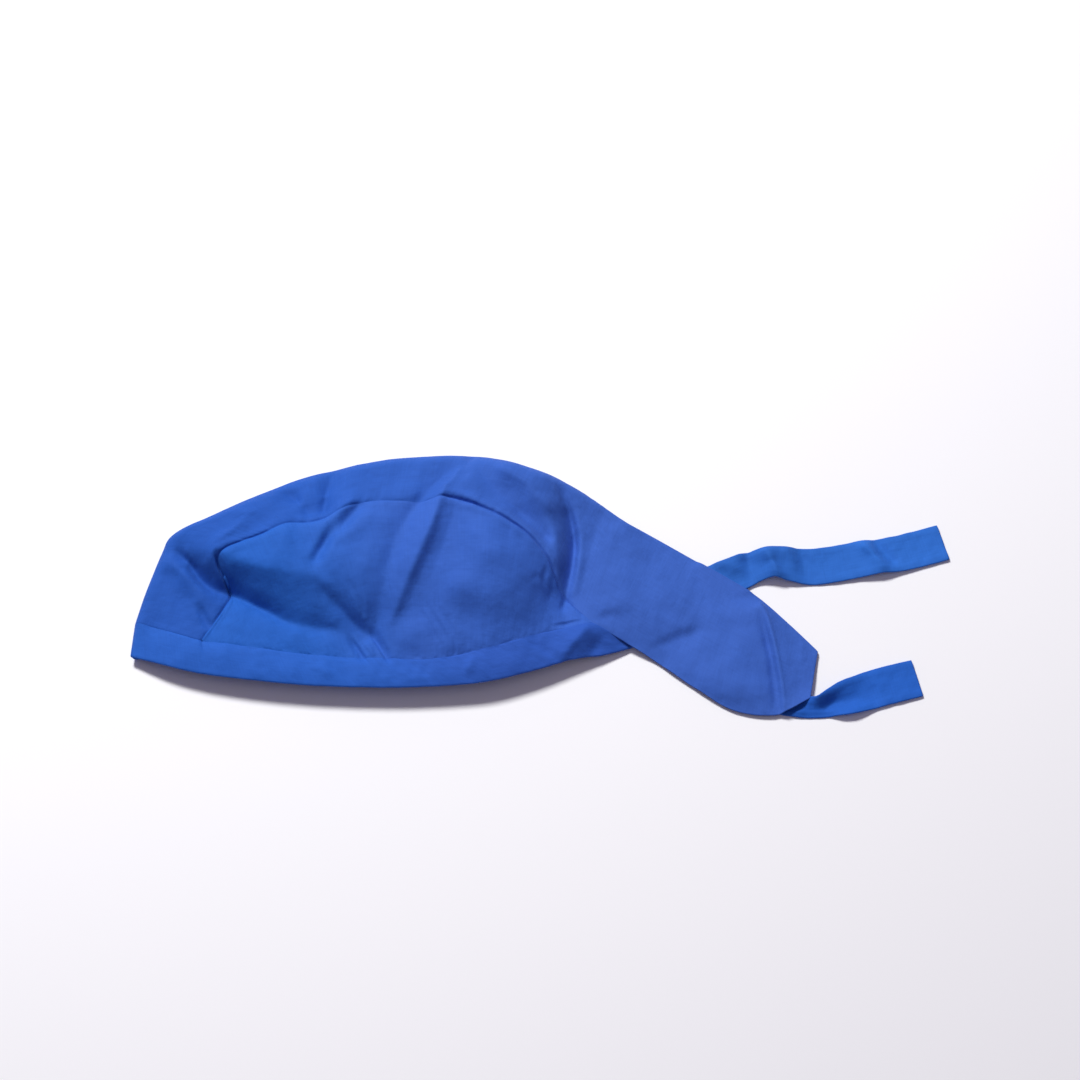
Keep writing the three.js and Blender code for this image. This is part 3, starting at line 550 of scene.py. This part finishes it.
def pleats(x, y):
    """Fine level pleats between the pocket and the tail's root."""
    inside = ease((x - PLEAT_X[0]) / PLEAT_FADE_X[0]) * ease((PLEAT_X[1] - x) / PLEAT_FADE_X[1])
    inside = inside * ease((y - PLEAT_Y[0]) / PLEAT_FADE_Y) * ease((PLEAT_Y[1] - y) / PLEAT_FADE_Y)
    return PLEAT_RISE * np.sin(math.tau * (y + PLEAT_SLOPE * x) / PLEAT_PITCH) * inside


# A wrinkle has its full rise from 1 / WRINKLE_FADE of its length inward
WRINKLE_FADE = 2.6


def wrinkle_rise(x, y):
    """The fine wrinkles together, each fading out at its ends."""
    total = np.zeros(np.shape(x))
    for wrinkle in WRINKLES:
        gap, side, along = from_line(smooth_line(wrinkle.line, 4), x, y)
        reach = np.where(side > 0, wrinkle.left, wrinkle.right)
        fade = ease(WRINKLE_FADE * np.minimum(along, 1 - along))
        total += wrinkle.rise * fade * (1 - ease(gap / reach))
    return total


# How deep the strip's near seam lies, by place along x.
STRIP_SEAM_DEPTHS = [
    (-182, 0.4), (-176, 1.2), (-164, 0.7), (-122, 0.9), (-112, 0.4), (-56, 0.2),
    (-50, 1.2), (-38, 2.3), (-12, 2.2), (0, 1), (18, 0.6),
]


def strip_seam_depth(x):
    """How deep the strip's near seam lies at a place along x."""
    table = np.array(STRIP_SEAM_DEPTHS)
    return np.interp(x, table[:, 0], table[:, 1])


# Beside a seam: a low rise as a share of its depth, then puckers that fade out
BESIDE_SHARE = 0.35
BESIDE_GAP = 3.4
BESIDE_HALF = 2.0
PUCKER_RISE = 0.22
PUCKER_START = 1.5
PUCKER_REACH = 5
UNEVEN_SHARE = 0.4


def seam_dip(gap, along, depth):
    """How far cloth sinks into a seam and puckers beside it, with both distances in millimetres."""
    pucker = waves(along, along * 0, length=6, seed=11, count=10)
    uneven = 1 + UNEVEN_SHARE * waves(along, along * 0, length=45, seed=12, count=8)
    sunk = -depth * uneven * np.exp(-(gap / SEAM_HALF) ** 2)
    beside = BESIDE_SHARE * depth * np.exp(-((gap - BESIDE_GAP) / BESIDE_HALF) ** 2)
    puckers = PUCKER_RISE * pucker * np.exp(-gap / PUCKER_REACH) * ease(gap / PUCKER_START)
    return sunk + beside + puckers


# Meshes

def normals_of(grid):
    """Unit normals of a grid of points, where rows run along and columns across."""
    along = np.gradient(grid, axis=0)
    across = np.gradient(grid, axis=1)
    normal = np.cross(across, along)
    length = np.linalg.norm(normal, axis=2, keepdims=True)
    return normal / np.maximum(length, 1e-9)


def pulled(grid, first=0.0, last=0.0, left=0.0, right=0.0):
    """The grid with its edge rows and columns moved inward."""
    grid = grid.copy()

    def moved(edge, inside, amount):
        """The edge brought an amount nearer to the row inside it."""
        step = inside - edge
        length = np.maximum(np.linalg.norm(step, axis=-1, keepdims=True), 1e-9)
        return edge + step * np.minimum(amount / length, 0.45)

    grid[0] = moved(grid[0], grid[1], first)
    grid[-1] = moved(grid[-1], grid[-2], last)
    grid[:, 0] = moved(grid[:, 0], grid[:, 1], left)
    grid[:, -1] = moved(grid[:, -1], grid[:, -2], right)
    return grid


def cloth_lengths(grid):
    """Cloth coordinates of a grid: millimetres along the rows and across them."""
    steps = np.linalg.norm(np.diff(grid, axis=0), axis=2)
    middle = np.concatenate([[0.0], np.cumsum(steps.mean(axis=1))])
    widths = np.linalg.norm(np.diff(grid, axis=1), axis=2)
    across = np.concatenate([np.zeros((len(grid), 1)), np.cumsum(widths, axis=1)], axis=1)
    across -= across.mean(axis=1, keepdims=True)
    return np.stack([np.repeat(middle[:, None], grid.shape[1], axis=1), across], axis=2)


RIM_STEPS = 4


def cloth_mesh(name, grid, thick, facing, material, cloth=None):
    """A closed body of cloth from a grid of points on its outer face, with rounded edges.
    facing is 1 where rows and then columns turn counter-clockwise seen from outside, or else -1."""
    rows, columns = grid.shape[:2]
    normal = normals_of(grid) * facing
    inner = grid - normal * thick
    flat = cloth_lengths(grid) if cloth is None else cloth

    ring = ([(0, j) for j in range(columns - 1)] + [(i, columns - 1) for i in range(rows - 1)]
            + [(rows - 1, j) for j in range(columns - 1, 0, -1)] + [(i, 0) for i in range(rows - 1, 0, -1)])
    ring = np.array(ring)
    inward = np.clip(ring, 1, [rows - 2, columns - 2])
    at, inside = grid[ring[:, 0], ring[:, 1]], grid[inward[:, 0], inward[:, 1]]
    up = normal[ring[:, 0], ring[:, 1]]
    out = at - inside
    out -= up * np.sum(out * up, axis=1, keepdims=True)
    out /= np.maximum(np.linalg.norm(out, axis=1, keepdims=True), 1e-9)
    middle = at - up * thick / 2
    ring_flat = flat[ring[:, 0], ring[:, 1]]

    points = [grid.reshape(-1, 3), inner.reshape(-1, 3)]
    flats = [flat.reshape(-1, 2), flat.reshape(-1, 2)]
    for k in range(1, RIM_STEPS):
        angle = math.pi * k / RIM_STEPS
        points.append(middle + up * (thick / 2 * math.cos(angle)) + out * (thick / 2 * math.sin(angle)))
        flats.append(ring_flat)
    points = np.vstack(points)
    flats = np.vstack(flats)

    index = np.arange(rows * columns).reshape(rows, columns)
    a, b, c, d = index[:-1, :-1], index[:-1, 1:], index[1:, 1:], index[1:, :-1]
    outer_faces = np.stack([a, b, c, d], axis=2).reshape(-1, 4)
    inner_faces = np.stack([d, c, b, a], axis=2).reshape(-1, 4) + rows * columns
    loops = [index[ring[:, 0], ring[:, 1]]]
    for k in range(1, RIM_STEPS):
        loops.append(2 * rows * columns + (k - 1) * len(ring) + np.arange(len(ring)))
    loops.append(index[ring[:, 0], ring[:, 1]] + rows * columns)
    rims = []
    for upper, lower in zip(loops[:-1], loops[1:]):
        rims.append(np.stack([np.roll(upper, -1), upper, lower, np.roll(lower, -1)], axis=1))
    faces = np.vstack([outer_faces, inner_faces] + rims)
    if facing < 0:
        faces = faces[:, ::-1]

    mesh = bpy.data.meshes.new(name)
    mesh.from_pydata(((points + ROW_FROM_PLAN) * MM).tolist(), [], faces.tolist())
    layer = mesh.uv_layers.new(name="cloth")
    layer.data.foreach_set("uv", flats[faces.reshape(-1)].reshape(-1).astype(np.float32))
    mesh.materials.append(material)
    mesh.polygons.foreach_set("use_smooth", np.ones(len(mesh.polygons), bool))
    mesh.validate()
    mesh.update()
    piece = bpy.data.objects.new(name, mesh)
    bpy.context.scene.collection.objects.link(piece)
    return piece


# Materials

def cotton(name, dye_and_painted_light):
    """Plain-woven poly-cotton: threads, slubs, faint random tone changes and a soft sheen, on a blue whose
    change from front to rear is painted light and shade.
    """
    material = bpy.data.materials.new(name)
    material.use_nodes = True
    nodes, links = material.node_tree.nodes, material.node_tree.links
    shader = nodes["Principled BSDF"]
    shader.inputs["Roughness"].default_value = 0.72
    shader.inputs["Specular IOR Level"].default_value = 0.12
    shader.inputs["Sheen Weight"].default_value = 0.06
    shader.inputs["Sheen Roughness"].default_value = 0.45
    shader.inputs["Sheen Tint"].default_value = (0.45, 0.62, 1.0, 1.0)

    where = nodes.new("ShaderNodeUVMap")
    where.uv_map = "cloth"

    def maths(operation, first, second=None):
        """One step of arithmetic on sockets or numbers."""
        node = nodes.new("ShaderNodeMath")
        node.operation = operation
        for socket, value in zip(node.inputs, (first, second)):
            if isinstance(value, bpy.types.NodeSocket):
                links.new(value, socket)
            elif value is not None:
                socket.default_value = value
        return node.outputs[0]

    def noise(scale, detail, stretch=(1, 1, 1)):
        """Noise over the cloth coordinates."""
        mapping = nodes.new("ShaderNodeMapping")
        mapping.inputs["Scale"].default_value = stretch
        links.new(where.outputs["UV"], mapping.inputs["Vector"])
        texture = nodes.new("ShaderNodeTexNoise")
        texture.inputs["Scale"].default_value = scale
        texture.inputs["Detail"].default_value = detail
        links.new(mapping.outputs["Vector"], texture.inputs["Vector"])
        return texture.outputs["Fac"]

    pitch = 0.44
    split = nodes.new("ShaderNodeSeparateXYZ")
    links.new(where.outputs["UV"], split.inputs[0])
    warp = maths("MULTIPLY", split.outputs["X"], 1 / pitch)
    weft = maths("MULTIPLY", split.outputs["Y"], 1 / pitch)
    over = maths("MODULO", maths("ADD", maths("FLOOR", warp), maths("FLOOR", weft)), 2)
    over = maths("ABSOLUTE", over)
    warp_round = maths("ABSOLUTE", maths("SINE", maths("MULTIPLY", warp, math.pi)))
    weft_round = maths("ABSOLUTE", maths("SINE", maths("MULTIPLY", weft, math.pi)))
    warp_part = maths("MULTIPLY", warp_round, over)
    weft_part = maths("MULTIPLY", weft_round, maths("SUBTRACT", 1, over))
    weave = maths("ADD", warp_part, weft_part)

    slub = maths("ADD", noise(1.0, 2, (0.05, 1.1, 1)), noise(1.0, 2, (1.1, 0.05, 1)))
    cloud = noise(0.045, 3)
    tone = maths("ADD", maths("MULTIPLY", slub, 0.16), maths("MULTIPLY", cloud, 0.16))
    tone = maths("ADD", tone, maths("MULTIPLY", weave, 0.07))
    tone = maths("ADD", tone, 0.72)
    scale = nodes.new("ShaderNodeVectorMath")
    scale.operation = "SCALE"
    place = nodes.new("ShaderNodeMapRange")
    place.interpolation_type = "SMOOTHSTEP"
    place.inputs["From Min"].default_value = dye_and_painted_light.start
    place.inputs["From Max"].default_value = dye_and_painted_light.end
    links.new(split.outputs["X"], place.inputs["Value"])
    # Mix from the front colour to the rear one along the cloth: painted light and shade on the cloth's own
    # blue.
    painted_light_mix = nodes.new("ShaderNodeMix")
    painted_light_mix.data_type = "RGBA"
    painted_light_mix.inputs[6].default_value = (*dye_and_painted_light.front, 1)
    painted_light_mix.inputs[7].default_value = (*dye_and_painted_light.rear, 1)
    links.new(place.outputs["Result"], painted_light_mix.inputs[0])
    links.new(painted_light_mix.outputs[2], scale.inputs[0])
    links.new(tone, scale.inputs["Scale"])
    links.new(scale.outputs[0], shader.inputs["Base Color"])

    crumple = noise(0.22, 3)
    height = maths("ADD", maths("MULTIPLY", weave, 0.035), maths("MULTIPLY", slub, 0.03))
    height = maths("ADD", height, maths("MULTIPLY", crumple, 0.35))
    bump = nodes.new("ShaderNodeBump")
    bump.inputs["Strength"].default_value = 1.0
    bump.inputs["Distance"].default_value = MM
    links.new(height, bump.inputs["Height"])
    links.new(bump.outputs["Normal"], shader.inputs["Normal"])
    return material


# Base colours at the front and the rear of a piece, and where along its cloth the change starts and ends. The
# blue itself is the cloth's own colour; the change from front to rear and the differences between pieces are
# painted light and shade.
DyeAndPaintedLight = namedtuple("DyeAndPaintedLight", "front rear start end")
DYES_AND_PAINTED_LIGHT = {
    "centre_panel": DyeAndPaintedLight((0.0165, 0.088, 0.408), (0.041, 0.118, 0.470), 110, 320),
    "left_side_panel": DyeAndPaintedLight((0.0155, 0.105, 0.455), (0.034, 0.112, 0.468), 55, 155),
    "right_side_panel": DyeAndPaintedLight((0.0155, 0.105, 0.455), (0.034, 0.112, 0.468), 55, 155),
    "head_band": DyeAndPaintedLight((0.0255, 0.094, 0.432), (0.0195, 0.108, 0.477), 60, 170),
    "left_tie": DyeAndPaintedLight((0.024, 0.128, 0.490), (0.026, 0.146, 0.555), 90, 160),
    "right_tie": DyeAndPaintedLight((0.0155, 0.105, 0.487), (0.018, 0.119, 0.525), 120, 200),
}
COTTON = {name: cotton(name + "_cotton", dye_and_painted_light) for name, dye_and_painted_light in DYES_AND_PAINTED_LIGHT.items()}


# Pieces

STRIP_CELLS = 50
TURN_CELLS = 9
SEAM_CELLS = np.array([0, 0.3, 0.6, 0.95, 1.4, 2.0, 2.8])
UNDER_CELLS = 18
RIM_CELL = 0.02
SIDE_CELLS = 62
BAND_CELLS = 24
TIE_CELLS = 18
FAR_CELLS = 40
# The least width that seam cells are fitted to, how far in an edge stays calm, and the least gap to the floor
LEAST_WIDTH = 8
EDGE_FADE = 12
CLEAR = 0.05
# Where the band's seam starts on the random waves, so that it differs from the strip's
BAND_PLACE = 500
# How fast the strip changes near the nape, and the share of the cap past which it covers the ties
NAPE_FADE = 12
TIES_FROM = 0.9
UNDER_FADE = 6


def beside_seam(width, count, far=False):
    """Gaps from a seam to points across a width, close together beside it, and at the far edge if asked."""
    last = width - SEAM_CELLS[::-1] if far else np.array([width])
    middle = np.linspace(SEAM_CELLS[-1], last[0], count - len(SEAM_CELLS) - len(last) + 3)
    return np.concatenate([SEAM_CELLS[:-1], middle, last[1:]])


def strip_section(station, share, place):
    """One section across the strip: near seam, over the crest, round the outline and back beneath."""
    ox, oy, sx, sy, edge, _, _, shoulder, under = station
    width = math.hypot(sx - ox, sy - oy)
    dx, dy = (sx - ox) / width, (sy - oy) / width
    gap = width - beside_seam(width, STRIP_CELLS)
    x, y = ox + dx * gap, oy + dy * gap
    rise = np.sqrt(1 - (1 - np.clip(gap / (shoulder * SHOULDER_SHARE), 0, 1)) ** 2)
    top = top_height(x, y)
    z = edge + (top - edge) * rise
    on_cap = ease((1 - share) * NAPE_FADE)
    z = z + seam_dip(width - gap, np.full(gap.shape, place), strip_seam_depth(sx)) * on_cap
    z = np.maximum(z, over_ties(x, y) * ease((share - TIES_FROM) * NAPE_FADE))
    z = np.maximum(z, PANEL_CLOTH + CLEAR)
    parts = [np.column_stack([x, y, z])]
    turn = min(edge, under)
    angle = np.linspace(0, math.pi / 2, TURN_CELLS + 1)[1:]
    back = np.concatenate([turn * (1 - np.cos(angle)), np.linspace(turn, under, UNDER_CELLS + 1)[1:]])
    drop = np.concatenate([1 - np.sin(angle), np.zeros(UNDER_CELLS)])
    folded = np.column_stack([ox + dx * back, oy + dy * back, z[-1] * drop])
    out = RIM_CELL * np.arange(1, TURN_CELLS + UNDER_CELLS + 1)
    plain = np.column_stack([ox - dx * out, oy - dy * out, np.full(out.shape, z[-1])])
    fold = ease(under / UNDER_FADE)
    parts.append(plain + (folded - plain) * fold)
    return np.vstack(parts)


# The strip's outer face, a row a section, over the cap and on over the tail
SECTIONS = np.array([strip_section(station, i / (CAP_COUNT - 1), i * CELL)
                     for i, station in enumerate(STATIONS)])


def make_centre_panel():
    """The strip from the brow to the nape with its far edge on the floor, and the tail beyond it."""
    grid = SECTIONS.copy()
    grid[:CAP_COUNT] = pulled(grid[:CAP_COUNT], left=SEAM_SINK, right=SEAM_SINK)
    grid = pulled(grid, first=SEAM_SINK)
    return cloth_mesh("centre_panel_cloth", grid, PANEL_CLOTH, -1, COTTON["centre_panel"])


def near_panel_edges():
    """The strip's near seam, and the near band seam point for point."""
    top = SECTIONS[:CAP_COUNT, 0]
    line = smooth_line(NEAR_BAND_SEAM)
    lengths = running_length(top)
    bottom = at_shares(line, lengths / lengths[-1])
    bottom[:, 2] = top_height(bottom[:, 0], bottom[:, 1])
    bottom[0], bottom[-1] = top[0], top[-1]
    return top, bottom


NEAR_TOP, NEAR_BOTTOM = near_panel_edges()


def make_left_side_panel():
    """The near side, between the strip's seam and the band's seam."""
    reach = np.linalg.norm(NEAR_BOTTOM - NEAR_TOP, axis=1)[:, None]
    wide = np.maximum(reach, LEAST_WIDTH)
    share = np.array([beside_seam(width, SIDE_CELLS, far=True) / width for width in wide[:, 0]])[..., None]
    grid = NEAR_TOP[:, None] * (1 - share) + NEAR_BOTTOM[:, None] * share
    top_gap = reach * share[..., 0]
    bottom_gap = reach - top_gap
    along = np.repeat(np.arange(len(grid))[:, None] * CELL, SIDE_CELLS + 1, axis=1)
    depth = strip_seam_depth(NEAR_TOP[:, :1])
    dips = seam_dip(top_gap, along, depth) + seam_dip(bottom_gap, along + BAND_PLACE, BAND_SEAM_DEPTH)
    grid[..., 2] = top_height(grid[..., 0], grid[..., 1]) + dips * ease(reach / EDGE_FADE)
    grid = pulled(grid, SEAM_SINK, SEAM_SINK, SEAM_SINK, SEAM_SINK)
    return cloth_mesh("left_side_panel_cloth", grid, PANEL_CLOTH, 1, COTTON["left_side_panel"])


def far_panel_edges():
    """The strip's far edge on the floor, and the far band seam point for point."""
    far_top = SECTIONS[:CAP_COUNT, -1]
    far_top = far_top[(far_top[:, 2] < 0.01) & (far_top[:, 0] < 30)]
    far_top = np.vstack([far_top, [FAR_BAND_SEAM[-1]]])
    line = smooth_line([SECTIONS[0, -1], *FAR_BAND_SEAM])
    lengths = running_length(far_top)
    return far_top, at_shares(line, lengths / lengths[-1])


FAR_TOP, FAR_BOTTOM = far_panel_edges()


def floor_ripple(x, y):
    """Small waves of the cloth that lies on the floor."""
    return 0.5 * np.maximum(0, waves(x, y, length=26, seed=21)) ** 2


def make_right_side_panel():
    """The far side, flat where it rests on the floor."""
    share = np.linspace(0, 1, FAR_CELLS + 1)[None, :, None]
    grid = FAR_BOTTOM[:, None] * (1 - share) + FAR_TOP[:, None] * share
    reach = np.linalg.norm(FAR_TOP - FAR_BOTTOM, axis=1)[:, None]
    from_edge = reach * np.minimum(share, 1 - share)[..., 0]
    grid[..., 2] = floor_ripple(grid[..., 0], grid[..., 1]) * ease(from_edge / EDGE_FADE)
    grid = pulled(grid, SEAM_SINK, SEAM_SINK, SEAM_SINK, SEAM_SINK)
    return cloth_mesh("right_side_panel_cloth", grid, PANEL_CLOTH, 1, COTTON["right_side_panel"])


# How much the band swells at its middle. It follows the relief from BROW_GAP past its front end,
# and where it lies above BAND_LOW.
BAND_CROWN = 1.2
BROW_GAP = 4
BROW_FADE = 18
BAND_LOW = 3
BAND_LOW_FADE = 4
BAND_DIP_FADE = 5
BAND_END_SINK = 0.2


def make_head_band():
    """The doubled band: from the nape over the near side, round the brow, and back on the floor."""
    brow = SECTIONS[0]
    turn = int(np.argmin(brow[:, 0]))
    top = np.vstack([NEAR_BOTTOM[::-1], brow[1:], FAR_BOTTOM[1:]])
    turn_index = len(NEAR_BOTTOM) - 1 + turn
    lengths = running_length(top)
    near_share = lengths[:turn_index + 1] / lengths[turn_index]
    far_share = (lengths[turn_index + 1:] - lengths[turn_index]) / (lengths[-1] - lengths[turn_index])
    mouth = np.vstack([at_shares(smooth_line(NEAR_MOUTH), near_share),
                       at_shares(smooth_line(FAR_MOUTH), far_share)])
    wide = np.maximum(np.linalg.norm(mouth - top, axis=1), LEAST_WIDTH)
    share = np.array([beside_seam(width, BAND_CELLS) / width for width in wide])[..., None]
    grid = top[:, None] * (1 - share) + mouth[:, None] * share
    x, y = grid[..., 0], grid[..., 1]
    relief = top_height(x, y)
    s = share[..., 0]
    settled = relief[:, :1] * (1 - s) + relief[:, -1:] * s
    on_top = ease((x - NEAR_MOUTH[-1][0] - BROW_GAP) / BROW_FADE) * (np.arange(len(top)) <= turn_index)[:, None]
    on_top = on_top * ease((grid[..., 2] - BAND_LOW) / BAND_LOW_FADE)
    crown = BAND_CROWN * (4 * s * (1 - s)) * on_top
    gap = np.linalg.norm(mouth - top, axis=1)[:, None] * s
    along = np.repeat(lengths[:, None], BAND_CELLS + 1, axis=1)
    dips = seam_dip(gap, along + BAND_PLACE, BAND_SEAM_DEPTH) * ease(grid[..., 2] / BAND_DIP_FADE)
    grid[..., 2] = np.maximum(0, grid[..., 2] + (relief - settled) * on_top + crown + dips)
    grid = pulled(grid, BAND_END_SINK, BAND_END_SINK, SEAM_SINK, 0)
    return cloth_mesh("head_band_cloth", grid, BAND_CLOTH, -1, COTTON["head_band"])


# The low rise along a tie's hem: its height, its gap from the edge and its half width
HEM_RISE = 0.22
HEM_GAP = 2.6
HEM_HALF = 1.0
TIE_CLEAR = 0.02


def make_tie(name, line, creases):
    """A flat sewn strip that follows its middle line, with the folds that its creases give it."""
    count = int(running_length(line)[-1] / CELL)
    middle = resample(line, count)
    heading = np.gradient(middle[:, :2], axis=0)
    heading /= np.linalg.norm(heading, axis=1)[:, None]
    across = np.stack([-heading[:, 1], heading[:, 0]], axis=1)
    share = np.linspace(0.5, -0.5, TIE_CELLS + 1)[None, :, None]
    width = TIE_WIDTH * middle[:, 3]
    flat = middle[:, None, :2] + across[:, None] * share * width[:, None, None]
    low, high = flat.reshape(-1, 2).min(axis=0) - 12, flat.reshape(-1, 2).max(axis=0) + 12
    guide = np.column_stack([middle[:, :2], middle[:, 2] + TIE_CLOTH])[::6]
    relief = Relief(low, high, creases, [Crease("middle", 4, guide)])
    x, y = flat[..., 0], flat[..., 1]
    first = creases[0].line
    shown = ease((x - min(p[0] for p in first) + 2) / 10)
    plain = np.repeat((middle[:, 2] + TIE_CLOTH)[:, None], TIE_CELLS + 1, axis=1)
    top = plain + (relief.at(x, y) - plain) * shown
    gap = width[:, None] * (0.5 - np.abs(share[..., 0]))
    top = top + HEM_RISE * np.exp(-((gap - HEM_GAP) / HEM_HALF) ** 2) + 0.1 * waves(x, y, length=9, seed=31)
    top = np.maximum(top, TIE_CLOTH + TIE_CLEAR)
    grid = np.concatenate([flat, top[..., None]], axis=2)
    return cloth_mesh(name + "_cloth", grid, TIE_CLOTH, 1, COTTON[name])


centre_panel = make_centre_panel()
left_side_panel = make_left_side_panel()
right_side_panel = make_right_side_panel()
head_band = make_head_band()
left_tie = make_tie("left_tie", LEFT_TIE_LINE, LEFT_TIE_CREASES)
right_tie = make_tie("right_tie", RIGHT_TIE_LINE, RIGHT_TIE_CREASES)

PIECES = {
    "centre_panel": centre_panel,
    "left_side_panel": left_side_panel,
    "right_side_panel": right_side_panel,
    "head_band": head_band,
    "left_tie": left_tie,
    "right_tie": right_tie,
}
for node, piece in PIECES.items():
    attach(piece, "root")
    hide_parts(node)


# Studio

FLOOR_HALF = 3.0
CAMERA_LENS = 177.3
CAMERA_ELEVATION = 65
CAMERA_DISTANCE = 3.0
CAMERA_AIM = (0.0022, 0.0297, 0)
Lamp = namedtuple("Lamp", "name place size power")
LAMPS = [Lamp("key", (-0.64, 1.13, 1.6), 0.45, 50), Lamp("fill", (0.3, -0.6, 2.2), 1.6, 3)]


def studio():
    """A plain pale floor, soft light from the far left, and the camera at the photograph's angle."""
    floor_mesh = bpy.data.meshes.new("floor")
    half = FLOOR_HALF
    corners = [(-half, -half, 0), (half, -half, 0), (half, half, 0), (-half, half, 0)]
    floor_mesh.from_pydata(corners, [], [(0, 1, 2, 3)])
    floor = bpy.data.objects.new("floor", floor_mesh)
    pale = bpy.data.materials.new("pale_floor")
    pale.use_nodes = True
    pale.node_tree.nodes["Principled BSDF"].inputs["Base Color"].default_value = (0.9, 0.9, 0.9, 1)
    pale.node_tree.nodes["Principled BSDF"].inputs["Roughness"].default_value = 0.9
    floor_mesh.materials.append(pale)
    bpy.context.scene.collection.objects.link(floor)

    world = bpy.data.worlds.new("studio")
    world.use_nodes = True
    world.node_tree.nodes["Background"].inputs["Color"].default_value = (0.82, 0.7, 1, 1)
    world.node_tree.nodes["Background"].inputs["Strength"].default_value = 0.2
    bpy.context.scene.world = world

    for name, place, size, power in LAMPS:
        lamp = bpy.data.lights.new(name, "AREA")
        lamp.size = size
        lamp.energy = power
        light = bpy.data.objects.new(name, lamp)
        light.location = place
        light.rotation_euler = (Vector((0, 0, 0)) - Vector(place)).to_track_quat("-Z", "Y").to_euler()
        bpy.context.scene.collection.objects.link(light)

    camera_data = bpy.data.cameras.new("camera")
    camera_data.lens = CAMERA_LENS
    camera_data.sensor_width = 36
    camera = bpy.data.objects.new("camera", camera_data)
    elevation = math.radians(CAMERA_ELEVATION)
    focus = Vector(ROW_FROM_PLAN) * MM
    camera.location = focus + CAMERA_DISTANCE * Vector((0, -math.cos(elevation), math.sin(elevation)))
    aim = focus + Vector(CAMERA_AIM)
    camera.rotation_euler = (aim - camera.location).to_track_quat("-Z", "Y").to_euler()
    bpy.context.scene.collection.objects.link(camera)
    bpy.context.scene.camera = camera
    bpy.context.scene.view_settings.view_transform = "Standard"


studio()
